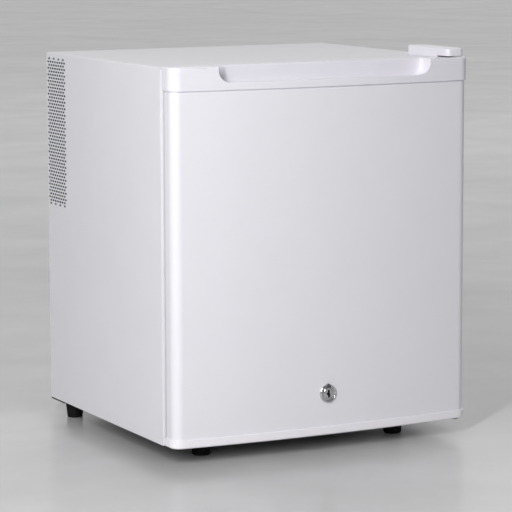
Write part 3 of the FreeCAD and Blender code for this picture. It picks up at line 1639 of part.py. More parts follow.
bow = size("door_bow")
bow_radius = (half * half + bow * bow) / (2 * bow)
skin_inner = size("skin_inset") + gauge
spigot_inner = skin_inner + size("spigot_wall")
lock_hole = size("lock_body_radius") + size("lock_body_play")


def door_form(name, inset, low, high, back):
    """The door's outline moved in by an inset: a bowed front with rounded upright edges."""
    inset = as_size(inset)
    slab = block(f"{name}_slab", (inset - half, door_nose - overrun, low), (half - inset, back, high))
    bowed = common(f"{name}_bowed", slab, rod(
        f"{name}_bow", "z", (0, door_nose + bow_radius, low), bow_radius - inset, as_size(high) - low))
    limit = (door_front + size("door_corner")).value
    return round_edges(name, bowed, size("door_corner") - inset, lambda edge: (
        runs_along(edge, "z") and middle(edge).y < limit))


def lock_bore(name, y_low, y_high):
    return rod(name, "y", (0, y_low, lock_z), lock_hole, y_high - y_low)


def spigot(name, low, high):
    """The ring of a cap that reaches into the skin."""
    return cut(
        name,
        door_form(f"{name}_outside", skin_inner, low, high, door_back - gauge),
        door_form(f"{name}_inside", spigot_inner, low - overrun, high + overrun,
                  door_back - gauge - size("spigot_wall")),
    )


def cap_blank(name, low, high, end, radius):
    """A cap's outside with rounded rear corners, and a rounded rim at its lower or upper end."""
    form = door_form(f"{name}_form", 0, low, high, cap_back)
    rear_y = cap_back.value
    cornered = round_edges(f"{name}_cornered", form, size("cap_rear_corner"), lambda edge: (
        runs_along(edge, "z") and abs(middle(edge).y - rear_y) < gauge.value))
    level = end.value
    return round_edges(f"{name}_rounded", cornered, radius, lambda edge: (
        abs(middle(edge).z - level) < gauge.value / 2))


def door_top_cap():
    """The upper moulding: hollow, with a grip pocket open to the front and to the top."""
    low = skin_high + size("cap_groove")
    lip = size("cap_lip")
    wall = size("cap_wall")
    grip = size("grip_half")
    pocket_low = door_top - size("grip_deep")
    pocket_back = door_nose + size("grip_back")
    outside = cap_blank("top_cap", low, door_top, door_top, size("cap_edge"))
    rear_recess = block("top_cap_rear", (lip - half, door_back, low - overrun),
                        (half - lip, cap_back + overrun, door_top - lip))
    grip_mass = block("grip_mass", (-grip - wall, door_nose - overrun, pocket_low - wall),
                      (grip + wall, pocket_back + wall, door_top + overrun))
    hollow = cut(
        "top_cap_hollow",
        door_form("top_cap_inside", wall, low + wall, door_top - wall, door_back - wall),
        grip_mass,
    )
    throat = door_form("top_cap_throat", spigot_inner, low - overrun, low + wall,
                       door_back - gauge - size("spigot_wall"))
    pocket_block = block("grip_block", (-grip, door_nose - overrun, pocket_low),
                         (grip, pocket_back, door_top + overrun))
    bottom_z, above = pocket_low.value, door_top.value
    cornered = round_edges("grip_cornered", pocket_block, size("grip_corner"), lambda edge: (
        runs_along(edge, "y") and abs(middle(edge).z - bottom_z) < gauge.value))
    deep = pocket_back.value
    softened = round_edges("grip_softened", cornered, size("grip_inner_corner"), lambda edge: (
        abs(middle(edge).y - deep) < gauge.value and middle(edge).z < above))
    behind_lip = door_form("grip_behind_lip", size("grip_lip"), pocket_low - overrun, door_top + 2 * overrun,
                           pocket_back + overrun)
    grip_pocket = common("grip_pocket", softened, behind_lip)
    mouth_low = door_top - size("grip_drop")
    mouth_block = block("grip_mouth_block", (-grip, door_nose - overrun, mouth_low),
                        (grip, door_nose + bow + size("grip_lip"), door_top + overrun))
    mouth_z = mouth_low.value
    mouth = round_edges("grip_mouth", mouth_block, size("grip_corner"), lambda edge: (
        runs_along(edge, "y") and abs(middle(edge).z - mouth_z) < gauge.value))
    boss_low = door_top - size("hinge_boss_depth")
    shell = cut("top_cap_shell", outside, rear_recess, hollow, throat)
    mass = fuse(
        "top_cap_mass", shell, spigot("top_spigot", skin_high - size("spigot"), low + wall),
        rod("top_boss", "z", (hinge_x, hinge_y, boss_low), size("hinge_boss_radius"),
            size("hinge_boss_depth") - wall / 2),
    )
    return node(cut(
        "door_top_cap", mass, grip_pocket, mouth,
        rod("top_bush_hole", "z", (hinge_x, hinge_y, door_top - size("hinge_bush_length")),
            size("hinge_bush_radius"), size("hinge_bush_length") + overrun),
    ), "door_top_cap")


def door_bottom_cap():
    """The lower moulding: a shallow tray with a boss for the lower bush."""
    lip = size("cap_lip")
    outside = cap_blank("bottom_cap", door_bottom, skin_low, door_bottom, size("bottom_cap_edge"))
    rear_recess = block("bottom_cap_rear", (lip - half, door_back, door_bottom + lip),
                        (half - lip, cap_back + overrun, skin_low + overrun))
    inside = door_form("bottom_cap_inside", spigot_inner, door_bottom + size("cap_wall"), skin_low + overrun,
                       door_back - gauge - size("spigot_wall"))
    mass = fuse(
        "bottom_cap_mass", cut("bottom_cap_shell", outside, rear_recess, inside),
        spigot("bottom_spigot", skin_low, skin_low + size("spigot")),
        rod("bottom_boss", "z", (hinge_x, hinge_y, door_bottom + size("cap_wall") / 2),
            size("hinge_boss_radius"), size("hinge_boss_depth") - size("cap_wall") / 2),
    )
    return node(cut(
        "door_bottom_cap", mass,
        rod("bottom_bush_hole", "z", (hinge_x, hinge_y, door_bottom - overrun), size("hinge_bush_radius"),
            size("hinge_bush_length") + overrun),
    ), "door_bottom_cap")


def door_skin():
    """The bowed steel front with upright sides that return behind the foam."""
    window = half - size("skin_inset") - size("skin_return")
    return node(cut(
        "door_skin",
        door_form("skin_outside", size("skin_inset"), skin_low, skin_high, door_back),
        door_form("skin_inside", skin_inner, skin_low - overrun, skin_high + overrun, door_back - gauge),
        block("skin_window", (-window, door_back - overrun, skin_low - overrun),
              (window, door_back + overrun, skin_high + overrun)),
        lock_bore("skin_lock_hole", door_nose - overrun, door_nose + 2 * overrun),
    ), "door_skin")


def door_foam():
    """The foam in the door, between the two caps' spigots."""
    low = skin_low + size("spigot")
    high = skin_high - size("spigot")
    window = half - size("skin_inset") - size("skin_return")
    return node(cut(
        "door_foam",
        fuse(
            "door_foam_mass",
            door_form("door_foam_form", skin_inner, low, high, door_back - gauge),
            block("door_foam_back", (-window, door_back - 2 * gauge, low), (window, door_back, high)),
        ),
        lock_bore("foam_lock_hole", door_nose - overrun, door_back + overrun),
    ), "door_foam")


ridge_bottom = base + size("ridge_low")
ridge_top = ceiling - size("ridge_below_ceiling")
bin_back = liner_face + size("bin_front_gap")
bin_half = size("ridge_half") - size("ridge_width") - size("bin_side_gap")
bin_levels = {"upper": (size("upper_bin_rise"), size("upper_bin_height")),
              "lower": (size("lower_bin_rise"), size("lower_bin_height"))}


def ridge_ring(name, shrink, y_low, y_high):
    """The raised frame on the door's liner, or the hollow in it."""
    def frame_block(part, inset, radius):
        solid = block(f"{name}_{part}_block", (inset - size("ridge_half"), y_low, ridge_bottom + inset),
                      (size("ridge_half") - inset, y_high, ridge_top - inset))
        return round_edges(f"{name}_{part}", solid, radius, lambda edge: runs_along(edge, "y"))

    return cut(
        name,
        frame_block("outer", shrink, size("ridge_corner") - shrink),
        frame_block("inner", size("ridge_width") - shrink, size("ridge_inner_corner") + shrink),
    )


def door_liner():
    """The moulded inside of the door: a flat flange, a hollow raised frame and ledges for the bins."""
    edge = size("door_liner_inset")
    pieces = [
        block("door_liner_flange", (edge - half, door_back, door_bottom + edge),
              (half - edge, liner_face, door_top - edge)),
        ridge_ring("ridge_outside", as_size(0), door_back, liner_face + size("ridge_reach")),
    ]
    for word, (rise, _) in bin_levels.items():
        ledge_top = ridge_bottom + rise - play
        for end, side in (("left", -1), ("right", 1)):
            inner_x = bin_half - size("bin_ledge_width")
            outer_x = bin_half + size("bin_side_gap") + size("liner_wall") / 2
            near, far = (-outer_x, -inner_x) if side < 0 else (inner_x, outer_x)
            pieces.append(block(f"bin_ledge_{word}_{end}",
                                (near, liner_face, ledge_top - size("bin_ledge_height")),
                                (far, liner_face + size("bin_ledge_length"), ledge_top)))
    hollow = ridge_ring("ridge_hollow", size("liner_wall"), door_back - overrun,
                        liner_face + size("ridge_reach") - size("liner_wall"))
    return node(cut(
        "door_liner", fuse("door_liner_mass", *pieces), hollow,
        lock_bore("door_liner_lock_hole", door_back - overrun, liner_face + overrun),
    ), "door_liner")


def gasket_ring(name, inset, width, y_low, y_high):
    """A rectangular ring, measured inward from the case's outline."""
    return cut(
        name,
        block(f"{name}_outer", (inset - half, y_low, base + inset), (half - inset, y_high, top - inset)),
        block(f"{name}_inner", (inset + width - half, y_low - overrun, base + inset + width),
              (half - inset - width, y_high + overrun, top - inset - width)),
    )


def door_gasket():
    """The magnetic seal: a base on the liner, a narrow neck and a flat head that meets the case."""
    inset = size("gasket_inset")
    wide = size("gasket_width")
    neck_inset = inset + (wide - size("gasket_neck")) / 2
    head_inset = inset + (wide - size("gasket_head")) / 2
    head_back = front - size("seat_gap")
    head_front = head_back - size("gasket_head_thick")
    base_back = liner_face + size("gasket_base")
    return node(fuse(
        "door_gasket",
        gasket_ring("gasket_foot_ring", inset, wide, liner_face, base_back),
        gasket_ring("gasket_neck_ring", neck_inset, size("gasket_neck"), liner_face, head_back),
        gasket_ring("gasket_head_ring", head_inset, size("gasket_head"), head_front, head_back),
    ), "door_gasket")


def door_bin(name, rise, height):
    """An open tray that rests on two ledges of the door's liner."""
    low = ridge_bottom + rise
    high = low + height
    wall = size("bin_wall")
    mass = block(f"{name}_block", (-bin_half, bin_back, low), (bin_half, bin_back + size("bin_depth"), high))
    outside = round_edges(f"{name}_outside", mass, size("bin_corner"), lambda edge: runs_along(edge, "z"))
    hollow = block(f"{name}_hollow", (wall - bin_half, bin_back + wall, low + wall),
                   (bin_half - wall, bin_back + size("bin_depth") - wall, high + overrun))
    inside = round_edges(f"{name}_inside", hollow, size("bin_corner") - wall, lambda edge: (
        runs_along(edge, "z")))
    return node(cut(name, outside, inside), name)


door_top_cap()
door_bottom_cap()
door_skin()
door_foam()
door_liner()
door_gasket()
for word, (rise, height) in bin_levels.items():
    door_bin(f"door_bin_{word}", rise, height)

# Lock

lock_face = front - lock_front
lock_end = front + size("lock_body_behind")
cam_face = lock_end + size("cam_gap")
cam_back = cam_face + size("cam_thick")
lock_bore_radius = size("lock_plug_radius") + size("lock_plug_play")


def lock_body():
    """The barrel with its bevelled rim, turned about the lock's axis."""
    rim = size("lock_rim_radius")
    step = size("lock_rim_step")
    barrel = size("lock_body_radius")
    proud = size("lock_proud")
    length = lock_end - lock_face
    body = new_body("lock_body", (0, lock_face, lock_z))
    profile = new_sketch(body, "XY_Plane", "lock_body_profile")
    polygon(profile, [(lock_bore_radius, 0), (rim - step, 0), (rim, step), (rim, proud), (barrel, proud),
                      (barrel, length), (lock_bore_radius, length)])
    turn(body, profile, "lock_body_turned")
    return node(body, "lock_body")


def lock_plug():
    """The turning core: a stepped keyway in front and a square shank behind."""
    start = lock_face + size("lock_plug_sunk")
    wide, tall = size("keyway_width") / 2, size("keyway_height") / 2
    step = size("keyway_step") / 2
    body = new_body("lock_plug_body", (0, start, lock_z))
    outline = new_sketch(body, "XZ_Plane", "plug_outline")
    circle(outline, 0, 0, size("lock_plug_radius"))
    pad(body, outline, "plug_core", lock_end - start, backwards=True)
    slot = new_sketch(body, "XZ_Plane", "keyway_outline")
    polygon(slot, [(-wide - step, -tall), (wide - step, -tall), (wide - step, 0), (wide + step, 0),
                   (wide + step, tall), (step - wide, tall), (step - wide, 0), (-wide - step, 0)])
    pocket(body, slot, "keyway", size("keyway_depth"))
    shank = size("lock_shank") / 2
    return node(cut(
        "lock_plug",
        fuse("plug_mass", body,
             block("plug_shank", (-shank, lock_end - overrun, lock_z - shank),
                   (shank, cam_back, lock_z + shank))),
        rod("plug_screw_hole", "y", (0, cam_back - size("cam_screw_length") - play, lock_z),
            size("cam_screw_shank") + size("cam_play"), size("cam_screw_length") + overrun),
    ), "lock_plug")


def lock_cam():
    """A flat finger on the shank; level while the lock is open."""
    wide = size("cam_width") / 2
    hole = size("lock_shank") / 2 + size("cam_play")
    finger = block("cam_finger", (0, cam_face, lock_z - wide), (size("cam_reach"), cam_back, lock_z + wide))
    tip = size("cam_reach").value
    softened = round_edges("cam_softened", finger, size("cam_corner"), lambda edge: (
        runs_along(edge, "y") and abs(middle(edge).x - tip) < gauge.value))
    return node(cut(
        "lock_cam",
        fuse("cam_mass", softened, rod("cam_root", "y", (0, cam_face, lock_z), wide, size("cam_thick"))),
        block("cam_hole", (-hole, cam_face - overrun, lock_z - hole),
              (hole, cam_back + overrun, lock_z + hole)),
    ), "lock_cam")


lock_body()
lock_plug()
lock_cam()
node(cut(
    "lock_nut",
    prism("lock_nut_blank", "y", (0, liner_face, lock_z), size("lock_nut_radius"), size("lock_nut_thick"),
          count("nut_sides")),
    rod("lock_nut_bore", "y", (0, liner_face - overrun, lock_z), size("lock_body_radius") + size("cam_play"),
        2 * overrun + size("lock_nut_thick")),
), "lock_nut")
node(screw("cam_screw", "y", (0, cam_back, lock_z), -1, (size("cam_washer"), size("cam_screw_height")),
           (size("cam_screw_shank"), size("cam_screw_length"))), "cam_screw")



# Check every object and write one file for each sub-part

doc.recompute()
faults = [f"{thing.Label}: {thing.State}" for thing in doc.Objects
          if "Invalid" in thing.State or "Error" in thing.State]
for thing in nodes:
    if thing.Shape.isNull() or not thing.Shape.isValid():
        faults.append(f"{thing.Label}: bad shape")
if faults:
    raise ValueError("\n".join(faults))

os.makedirs("parts", exist_ok=True)
for thing in nodes:
    thing.Shape.exportStep(f"parts/{thing.Label}.step")
print(len(nodes), "sub-parts written")
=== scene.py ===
import json
import math

import bmesh
import bpy
from mathutils import Matrix, Vector

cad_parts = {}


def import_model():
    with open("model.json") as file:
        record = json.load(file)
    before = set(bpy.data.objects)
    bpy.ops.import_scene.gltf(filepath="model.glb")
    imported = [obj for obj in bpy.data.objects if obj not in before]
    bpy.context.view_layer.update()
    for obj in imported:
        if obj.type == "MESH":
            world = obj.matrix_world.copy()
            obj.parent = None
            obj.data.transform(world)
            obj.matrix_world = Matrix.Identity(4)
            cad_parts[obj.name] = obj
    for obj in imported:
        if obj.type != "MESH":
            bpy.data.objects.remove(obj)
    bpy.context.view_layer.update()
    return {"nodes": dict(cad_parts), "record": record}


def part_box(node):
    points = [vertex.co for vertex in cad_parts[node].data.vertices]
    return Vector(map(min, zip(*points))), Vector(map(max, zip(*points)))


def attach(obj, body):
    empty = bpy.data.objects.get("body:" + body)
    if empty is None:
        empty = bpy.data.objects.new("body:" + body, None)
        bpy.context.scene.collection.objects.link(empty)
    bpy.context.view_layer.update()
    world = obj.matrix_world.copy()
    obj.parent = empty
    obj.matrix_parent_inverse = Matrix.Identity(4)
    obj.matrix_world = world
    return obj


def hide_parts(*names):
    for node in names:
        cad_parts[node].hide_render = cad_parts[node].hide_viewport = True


# Minibar fridge dressed over its CAD frame
# Lengths are in metres: +X to the fridge's right, +Y to its rear, +Z up from the floor
# A named length in mm is multiplied by MM where it is used

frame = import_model()
MM = 0.001

# Places that the pieces share, read from the frame

CASE_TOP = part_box("top_panel")[1].z
CASE_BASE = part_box("base_plate")[0].z
CASE_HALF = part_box("right_side_panel")[1].x
CASE_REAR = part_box("rear_cover")[1].y


# Materials

# The range of a noise's values that is eased into a finish's own range
NOISE_LOW, NOISE_HIGH = 0.22, 0.78
# Patches of tone and of gloss to the metre, and the detail in the patches and in the grain
TONE_PATCHES, GLOSS_PATCHES = 18.0, 54.0
PATCH_DETAIL, GRAIN_DETAIL = 3.0, 2.0
# Grains to the metre and their depth in metres, where a finish gives none
USUAL_GRAIN = (900.0, 0.00002)


def new_material(name):
    material = bpy.data.materials.new(name)
    material.use_nodes = True
    tree = material.node_tree
    return material, tree, tree.nodes["Principled BSDF"]


def add(tree, kind, **values):
    """A new node, with each value set on its input of that name or else on the node itself."""
    node = tree.nodes.new(kind)
    for key, value in values.items():
        if key in node.inputs:
            node.inputs[key].default_value = value
        else:
            setattr(node, key, value)
    return node


def set_range(node, from_low, from_high, to_low, to_high):
    """The four ends of a Map Range node."""
    ends = {"From Min": from_low, "From Max": from_high, "To Min": to_low, "To Max": to_high}
    for socket, value in ends.items():
        node.inputs[socket].default_value = value
    return node


def noise(tree, scale, detail, stretch=(1, 1, 1)):
    """Noise over the row frame's metres, so that its grain has a real size."""
    place = add(tree, "ShaderNodeTexCoord")
    mapping = add(tree, "ShaderNodeMapping")
    mapping.inputs["Scale"].default_value = stretch
    pattern = add(tree, "ShaderNodeTexNoise", Scale=scale, Detail=detail)
    tree.links.new(place.outputs["Object"], mapping.inputs["Vector"])
    tree.links.new(mapping.outputs["Vector"], pattern.inputs["Vector"])
    return pattern.outputs["Fac"]


def spread(tree, source, low, high):
    """A noise's middle range eased from low to high."""
    span = set_range(add(tree, "ShaderNodeMapRange", interpolation_type="SMOOTHERSTEP"),
                     NOISE_LOW, NOISE_HIGH, low, high)
    tree.links.new(source, span.inputs["Value"])
    return span.outputs["Result"]


def finish(name, colour, tone, roughness, metallic=0.0, grain=USUAL_GRAIN, stretch=(1, 1, 1), **shader):
    """A surface with a slight change of tone and gloss over it, and a fine relief of a stated depth."""
    material, tree, surface = new_material(name)
    surface.inputs["Metallic"].default_value = metallic
    for socket, value in shader.items():
        surface.inputs[socket.replace("_", " ")].default_value = value
    mix = add(tree, "ShaderNodeMix", data_type="RGBA")
    mix.inputs["A"].default_value = (*[c * (1 - tone) for c in colour], 1)
    mix.inputs["B"].default_value = (*[min(1, c * (1 + tone)) for c in colour], 1)
    tree.links.new(spread(tree, noise(tree, TONE_PATCHES, PATCH_DETAIL), 0, 1), mix.inputs["Factor"])
    tree.links.new(mix.outputs["Result"], surface.inputs["Base Color"])
    gloss = spread(tree, noise(tree, GLOSS_PATCHES, PATCH_DETAIL, stretch), *roughness)
    tree.links.new(gloss, surface.inputs["Roughness"])
    scale, depth = grain
    bump = add(tree, "ShaderNodeBump", Strength=1.0, Distance=depth)
    tree.links.new(noise(tree, scale, GRAIN_DETAIL, stretch), bump.inputs["Height"])
    tree.links.new(bump.outputs["Normal"], surface.inputs["Normal"])
    return material


# Each finish: its colour, its change of tone as a share, its range of roughness, its metal and its grain
MATERIALS = {
    "case_white": finish("powder_coat_case", (0.832, 0.824, 0.866), 0.008, (0.34, 0.37),
                         grain=(700.0, 0.000012)),
    "door_white": finish("powder_coat_door", (0.842, 0.833, 0.880), 0.006, (0.195, 0.205),
                         grain=(700.0, 0.000006)),
    "base_grey": finish("primer_base", (0.05, 0.05, 0.053), 0.15, (0.55, 0.75)),
    "cover_black": finish("powder_coat_black", (0.020, 0.020, 0.021), 0.2, (0.42, 0.6),
                          grain=(650.0, 0.00004)),
    "zinc_steel": finish("zinc_plate", (0.58, 0.59, 0.6), 0.08, (0.25, 0.42), 1.0,
                         grain=(1500.0, 0.000008)),
    "moulded_white": finish("moulded_white", (0.845, 0.828, 0.890), 0.008, (0.17, 0.18),
                            grain=(1400.0, 0.000004)),
    "liner_white": finish("vacuum_formed_white", (0.84, 0.845, 0.86), 0.006, (0.24, 0.26),
                          grain=(500.0, 0.000006)),
    "bin_white": finish("frosted_bin", (0.79, 0.825, 0.85), 0.006, (0.29, 0.30),
                        grain=(900.0, 0.000003)),
    "foam_cream": finish("rigid_foam", (0.72, 0.6, 0.36), 0.12, (0.75, 0.9),
                         grain=(420.0, 0.0003)),
    "wire_white": finish("coated_wire", (0.83, 0.83, 0.84), 0.02, (0.25, 0.38),
                         grain=(1200.0, 0.00001)),
    "bare_aluminium": finish("extruded_aluminium", (0.62, 0.63, 0.64), 0.06, (0.28, 0.45), 1.0,
                             stretch=(1, 1, 0.05)),
    "fan_black": finish("glass_filled_black", (0.012, 0.012, 0.013), 0.2, (0.42, 0.58),
                        grain=(1600.0, 0.00002)),
    "module_white": finish("ceramic", (0.78, 0.78, 0.75), 0.03, (0.4, 0.55)),
    "supply_steel": finish("plain_plated_sheet", (0.55, 0.56, 0.57), 0.08, (0.3, 0.46), 1.0,
                           grain=(300.0, 0.00001)),
    "circuit_green": finish("solder_mask", (0.012, 0.10, 0.035), 0.2, (0.25, 0.4),
                            grain=(500.0, 0.00004)),
    "lens_frosted": finish("frosted_lens", (0.86, 0.9, 0.92), 0.02, (0.3, 0.42),
                           grain=(2500.0, 0.00001),
                           Subsurface_Weight=0.5, Subsurface_Scale=0.003, IOR=1.49),
    "seal_grey": finish("magnetic_seal", (0.60, 0.60, 0.615), 0.03, (0.5, 0.62),
                        grain=(1100.0, 0.00002)),
    "foot_black": finish("moulded_rubber", (0.005, 0.005, 0.0055), 0.25, (0.6, 0.8),
                         grain=(1300.0, 0.00005), Specular_IOR_Level=0.2),
    "nylon_white": finish("plain_nylon", (0.78, 0.78, 0.74), 0.03, (0.4, 0.52),
                          grain=(1000.0, 0.00002)),
    "lock_chrome": finish("chrome_plate", (0.72, 0.725, 0.73), 0.03, (0.08, 0.16), 1.0,
                          grain=(2200.0, 0.000004)),
}
DARK_INK = finish("dial_ink", (0.03, 0.03, 0.035), 0.1, (0.45, 0.55))
# A lighter copy of the moulded white for the door's bottom cap: painted light, for the brighter light that
# falls on that cap
BOTTOM_CAP_PAINTED_LIGHT = finish("moulded_white_painted_lighter", (0.92, 0.905, 0.95), 0.006, (0.17, 0.18),
                          grain=(1400.0, 0.000004))
DARK_METAL = finish("dark_plate", (0.16, 0.165, 0.17), 0.1, (0.25, 0.35), 1.0,
                    grain=(1800.0, 0.00001))


def dress(obj, material):
    obj.data.materials.clear()
    obj.data.materials.append(material)


# The CAD's own solids keep their shape and get their finish and soft edges

# The width of the soft edges in mm
SOFT_EDGES = {
    "door_top_cap": 0.7, "door_bottom_cap": 0.7, "top_hinge_cover": 0.4, "lock_body": 0.25,
    "lock_plug": 0.12, "thermostat_housing": 0.5, "temperature_knob": 0.35, "cold_fan_cover": 0.4,
    "door_bin_upper": 0.7, "door_bin_lower": 0.7, "door_skin": 0.25, "front_left_foot": 0.4,
    "front_right_foot": 0.4, "rear_left_foot": 0.6, "rear_right_foot": 0.6, "lock_cam": 0.3,
    "lock_nut": 0.3, "top_hinge_bracket": 0.4, "bottom_hinge_bracket": 0.4, "power_inlet": 0.3,
    "hot_fan_frame": 0.4, "cold_fan_frame": 0.4, "power_supply_case": 0.4, "lock_strike": 0.2,
}
EDGE_STEPS = 2
EDGE_ANGLE = math.radians(40)


def soften(obj, width):
    """A small bevel on the sharp edges; it changes no vertex of the CAD mesh."""
    bevel = obj.modifiers.new("soft_edges", "BEVEL")
    bevel.width = width * MM
    bevel.segments = EDGE_STEPS
    bevel.limit_method = "ANGLE"
    bevel.angle_limit = EDGE_ANGLE
    bevel.harden_normals = True
    bevel.use_clamp_overlap = True


slot_of = {entry["node"]: entry["material_slot"] for entry in frame["record"]["subparts"]}
# The door's bottom cap gets the lighter copy of the moulded white, as painted light
for node_name, cad_object in frame["nodes"].items():
    dress(cad_object, BOTTOM_CAP_PAINTED_LIGHT if node_name == "door_bottom_cap" else MATERIALS[slot_of[node_name]])
    if node_name in SOFT_EDGES:
        soften(cad_object, SOFT_EDGES[node_name])


# What the pieces are made with

# The edges of a smooth surface stay sharp above this angle
SHARP_ANGLE = math.radians(32)


def piece(name, mesh, body, slot, material=None):
    """A finished mesh as a piece of the object, on one of its bodies."""
    obj = bpy.data.objects.new(name, mesh)
    bpy.context.scene.collection.objects.link(obj)
    dress(obj, material or MATERIALS[slot])
    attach(obj, body)
    return obj


def mesh_of(name, build, smooth=False):
    """A bmesh as a finished mesh, with its faces turned outwards."""
    bmesh.ops.recalc_face_normals(build, faces=build.faces)
    mesh = bpy.data.meshes.new(name)
    build.to_mesh(mesh)
    build.free()
    if smooth:
        mesh.shade_smooth()
        mesh.set_sharp_from_angle(angle=SHARP_ANGLE)
    return mesh


def ring(build, spots):
    """A ring of vertices at a list of places."""
    return [build.verts.new(spot) for spot in spots]


def wall(build, here, there):
    """A closed band of faces between two rings of one length."""
    for n in range(len(here)):
        m = (n + 1) % len(here)
        build.faces.new((here[n], here[m], there[m], there[n]))


def tube(build, rings):
    """Bands from each ring to the next, and from the last back to the first."""
    for here, there in zip(rings, rings[1:] + rings[:1]):
        wall(build, here, there)


def solid(build, rings):
    """Bands from each ring to the next, closed by a face at both ends."""
    build.faces.new(rings[0])
    build.faces.new(rings[-1])
    for here, there in zip(rings, rings[1:]):
        wall(build, here, there)


def turns(count):
    """The angles of a full turn in equal steps."""
    return [2 * math.pi * n / count for n in range(count)]


def lathe(build, profile, centre, segments):
    """A closed profile of (radius, y) turned about an axis along Y."""
    x, z = centre
    angles = turns(segments)
    tube(build, [ring(build, [(x + radius * math.cos(a), y, z + radius * math.sin(a)) for a in angles])
                 for radius, y in profile])


def prism(build, outline, y_near, y_far, rim=0.0):
    """A closed outline of (x, z) between two depths, with its near edge eased by a small slope."""
    middle_x = sum(x for x, z in outline) / len(outline)
    middle_z = sum(z for x, z in outline) / len(outline)

    def inset_ring(y, inset):
        spots = []
        for x, z in outline:
            way = Vector((middle_x - x, 0, middle_z - z)).normalized() * inset
            spots.append((x + way.x, y, z + way.z))
        return ring(build, spots)

    near = [inset_ring(y_near, rim), inset_ring(y_near + rim, 0)] if rim else [inset_ring(y_near, 0)]
    solid(build, near + [inset_ring(y_far, 0)])


def block(build, low, high, ease):
    """A box between two corners, with its edges eased."""
    made = bmesh.ops.create_cube(build, size=1.0)["verts"]
    for vert in made:
        vert.co = Vector([low[n] if vert.co[n] < 0 else high[n] for n in range(3)])
    edges = list({edge for vert in made for edge in vert.link_edges})
    bmesh.ops.bevel(build, geom=edges, offset=ease, segments=EDGE_STEPS, affect="EDGES")


# Door seal: bellows with a flat magnetic head and an outer lip

# Shares of the seal's width from its outer edge, and of its depth from the door's liner
SEAL_SHARES = [
    (0.0, 0.0), (1.0, 0.0), (1.0, 0.16), (0.86, 0.24), (0.72, 0.26), (0.66, 0.34), (0.74, 0.44),
    (0.74, 0.52), (0.66, 0.60), (0.80, 0.64), (0.83, 0.74), (0.82, 0.94), (0.76, 1.0), (0.24, 1.0),
    (0.18, 0.94), (0.17, 0.74), (0.20, 0.64), (0.34, 0.60), (0.26, 0.52), (0.26, 0.44), (0.34, 0.34),
    (0.28, 0.26), (0.06, 0.22), (0.0, 0.30), (-0.36, 0.86), (-0.46, 0.86), (-0.47, 0.10), (-0.45, 0.0),
]
SEAL_WIDTH, SEAL_EDGE = 13, 0.25


def seal():
    """The bellows seal round the door, whose grey outer lip reaches out into the gap to the case, partly as
    painted shade of that gap, and stays within the seal's own edge at the hinge.
    """
    low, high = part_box("door_gasket")
    outer = CASE_HALF - high.x
    depth = high.y - low.y
    build = bmesh.new()
    rings = []
    for width_share, depth_share in SEAL_SHARES:
        inset = outer + SEAL_WIDTH * MM * width_share
        y = low.y + depth * depth_share
        left, right = inset - CASE_HALF, CASE_HALF - max(inset, outer)
        bottom, top = CASE_BASE + inset, CASE_TOP - inset
        rings.append(ring(build, ((left, y, bottom), (right, y, bottom), (right, y, top), (left, y, top))))
    tube(build, rings)
    obj = piece("door_seal", mesh_of("seal_mesh", build), "door", "seal_grey")
    bevel = obj.modifiers.new("folds", "BEVEL")
    bevel.width = SEAL_EDGE * MM
    bevel.segments = EDGE_STEPS
    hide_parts("door_gasket")


seal()


# Door lock: a turned ring with a groove and an index tab, and a core with a stepped keyway

# Radius and depth behind the ring's face, in mm, from the bore round to the barrel
LOCK_RING = [
    (6.35, 44.0), (6.35, 0.6), (6.6, 0.25), (7.3, 0.25), (7.55, 0.5), (7.7, 1.3), (8.25, 1.4),
    (8.5, 0.6), (8.9, 0.25), (9.5, 0.15), (10.2, 0.35), (10.9, 0.9), (11.3, 1.6), (11.3, 2.6),
    (9.25, 2.6), (9.25, 44.0),
]
# The keyway's outline round the core's axis, in mm
KEYWAY = [
    (-0.9, 4.9), (1.1, 4.9), (1.7, 1.7), (0.9, 0.8), (2.3, -0.7), (2.2, -2.2), (1.2, -4.9), (-0.6, -4.9),
    (-1.0, -1.6), (-2.8, -0.2), (-2.6, 1.1), (-1.2, 1.8),
]
TAB_HALF, TAB_LOW, TAB_HIGH, TAB_DEEP, TAB_EASE, TAB_STEPS = 3.3, 7.6, 11.9, 2.5, 0.35, 16
CORE_RADIUS, CORE_RIM, CORE_SUNK, KEYWAY_DEEP, SHANK_HALF = 6.3, 0.3, 0.4, 5.0, 3.5
# The lining's size as a share of the keyway's, and its gaps in mm to the core's face and the keyway's end
LINING_SHARE = 0.96
LINING_NEAR_GAP, LINING_FAR_GAP = 0.05, 0.1
TURN_STEPS = 96


def lock():
    """The lock's ring, core and tab."""
    low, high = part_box("lock_body")
    x, z = (low.x + high.x) / 2, (low.z + high.z) / 2
    face, end = low.y, high.y
    build = bmesh.new()
    lathe(build, [(r * MM, min(face + d * MM, end)) for r, d in LOCK_RING], (x, z), TURN_STEPS)
    lock_ring = piece("lock_ring", mesh_of("lock_ring", build, True), "door", "lock_chrome")
    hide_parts("lock_body")
    core(x, z, face + CORE_SUNK * MM, end)
    build = bmesh.new()
    tall = TAB_HIGH - TAB_LOW
    half_turn = [math.pi * n / TAB_STEPS for n in range(TAB_STEPS + 1)]
    outline = [(x + TAB_HALF * MM * math.cos(a), z + (TAB_LOW + tall * math.sin(a)) * MM)
               for a in half_turn]
    prism(build, outline, face, face + TAB_DEEP * MM, TAB_EASE * MM)
    piece("lock_tab", mesh_of("lock_tab", build), "door", "lock_chrome", DARK_METAL)


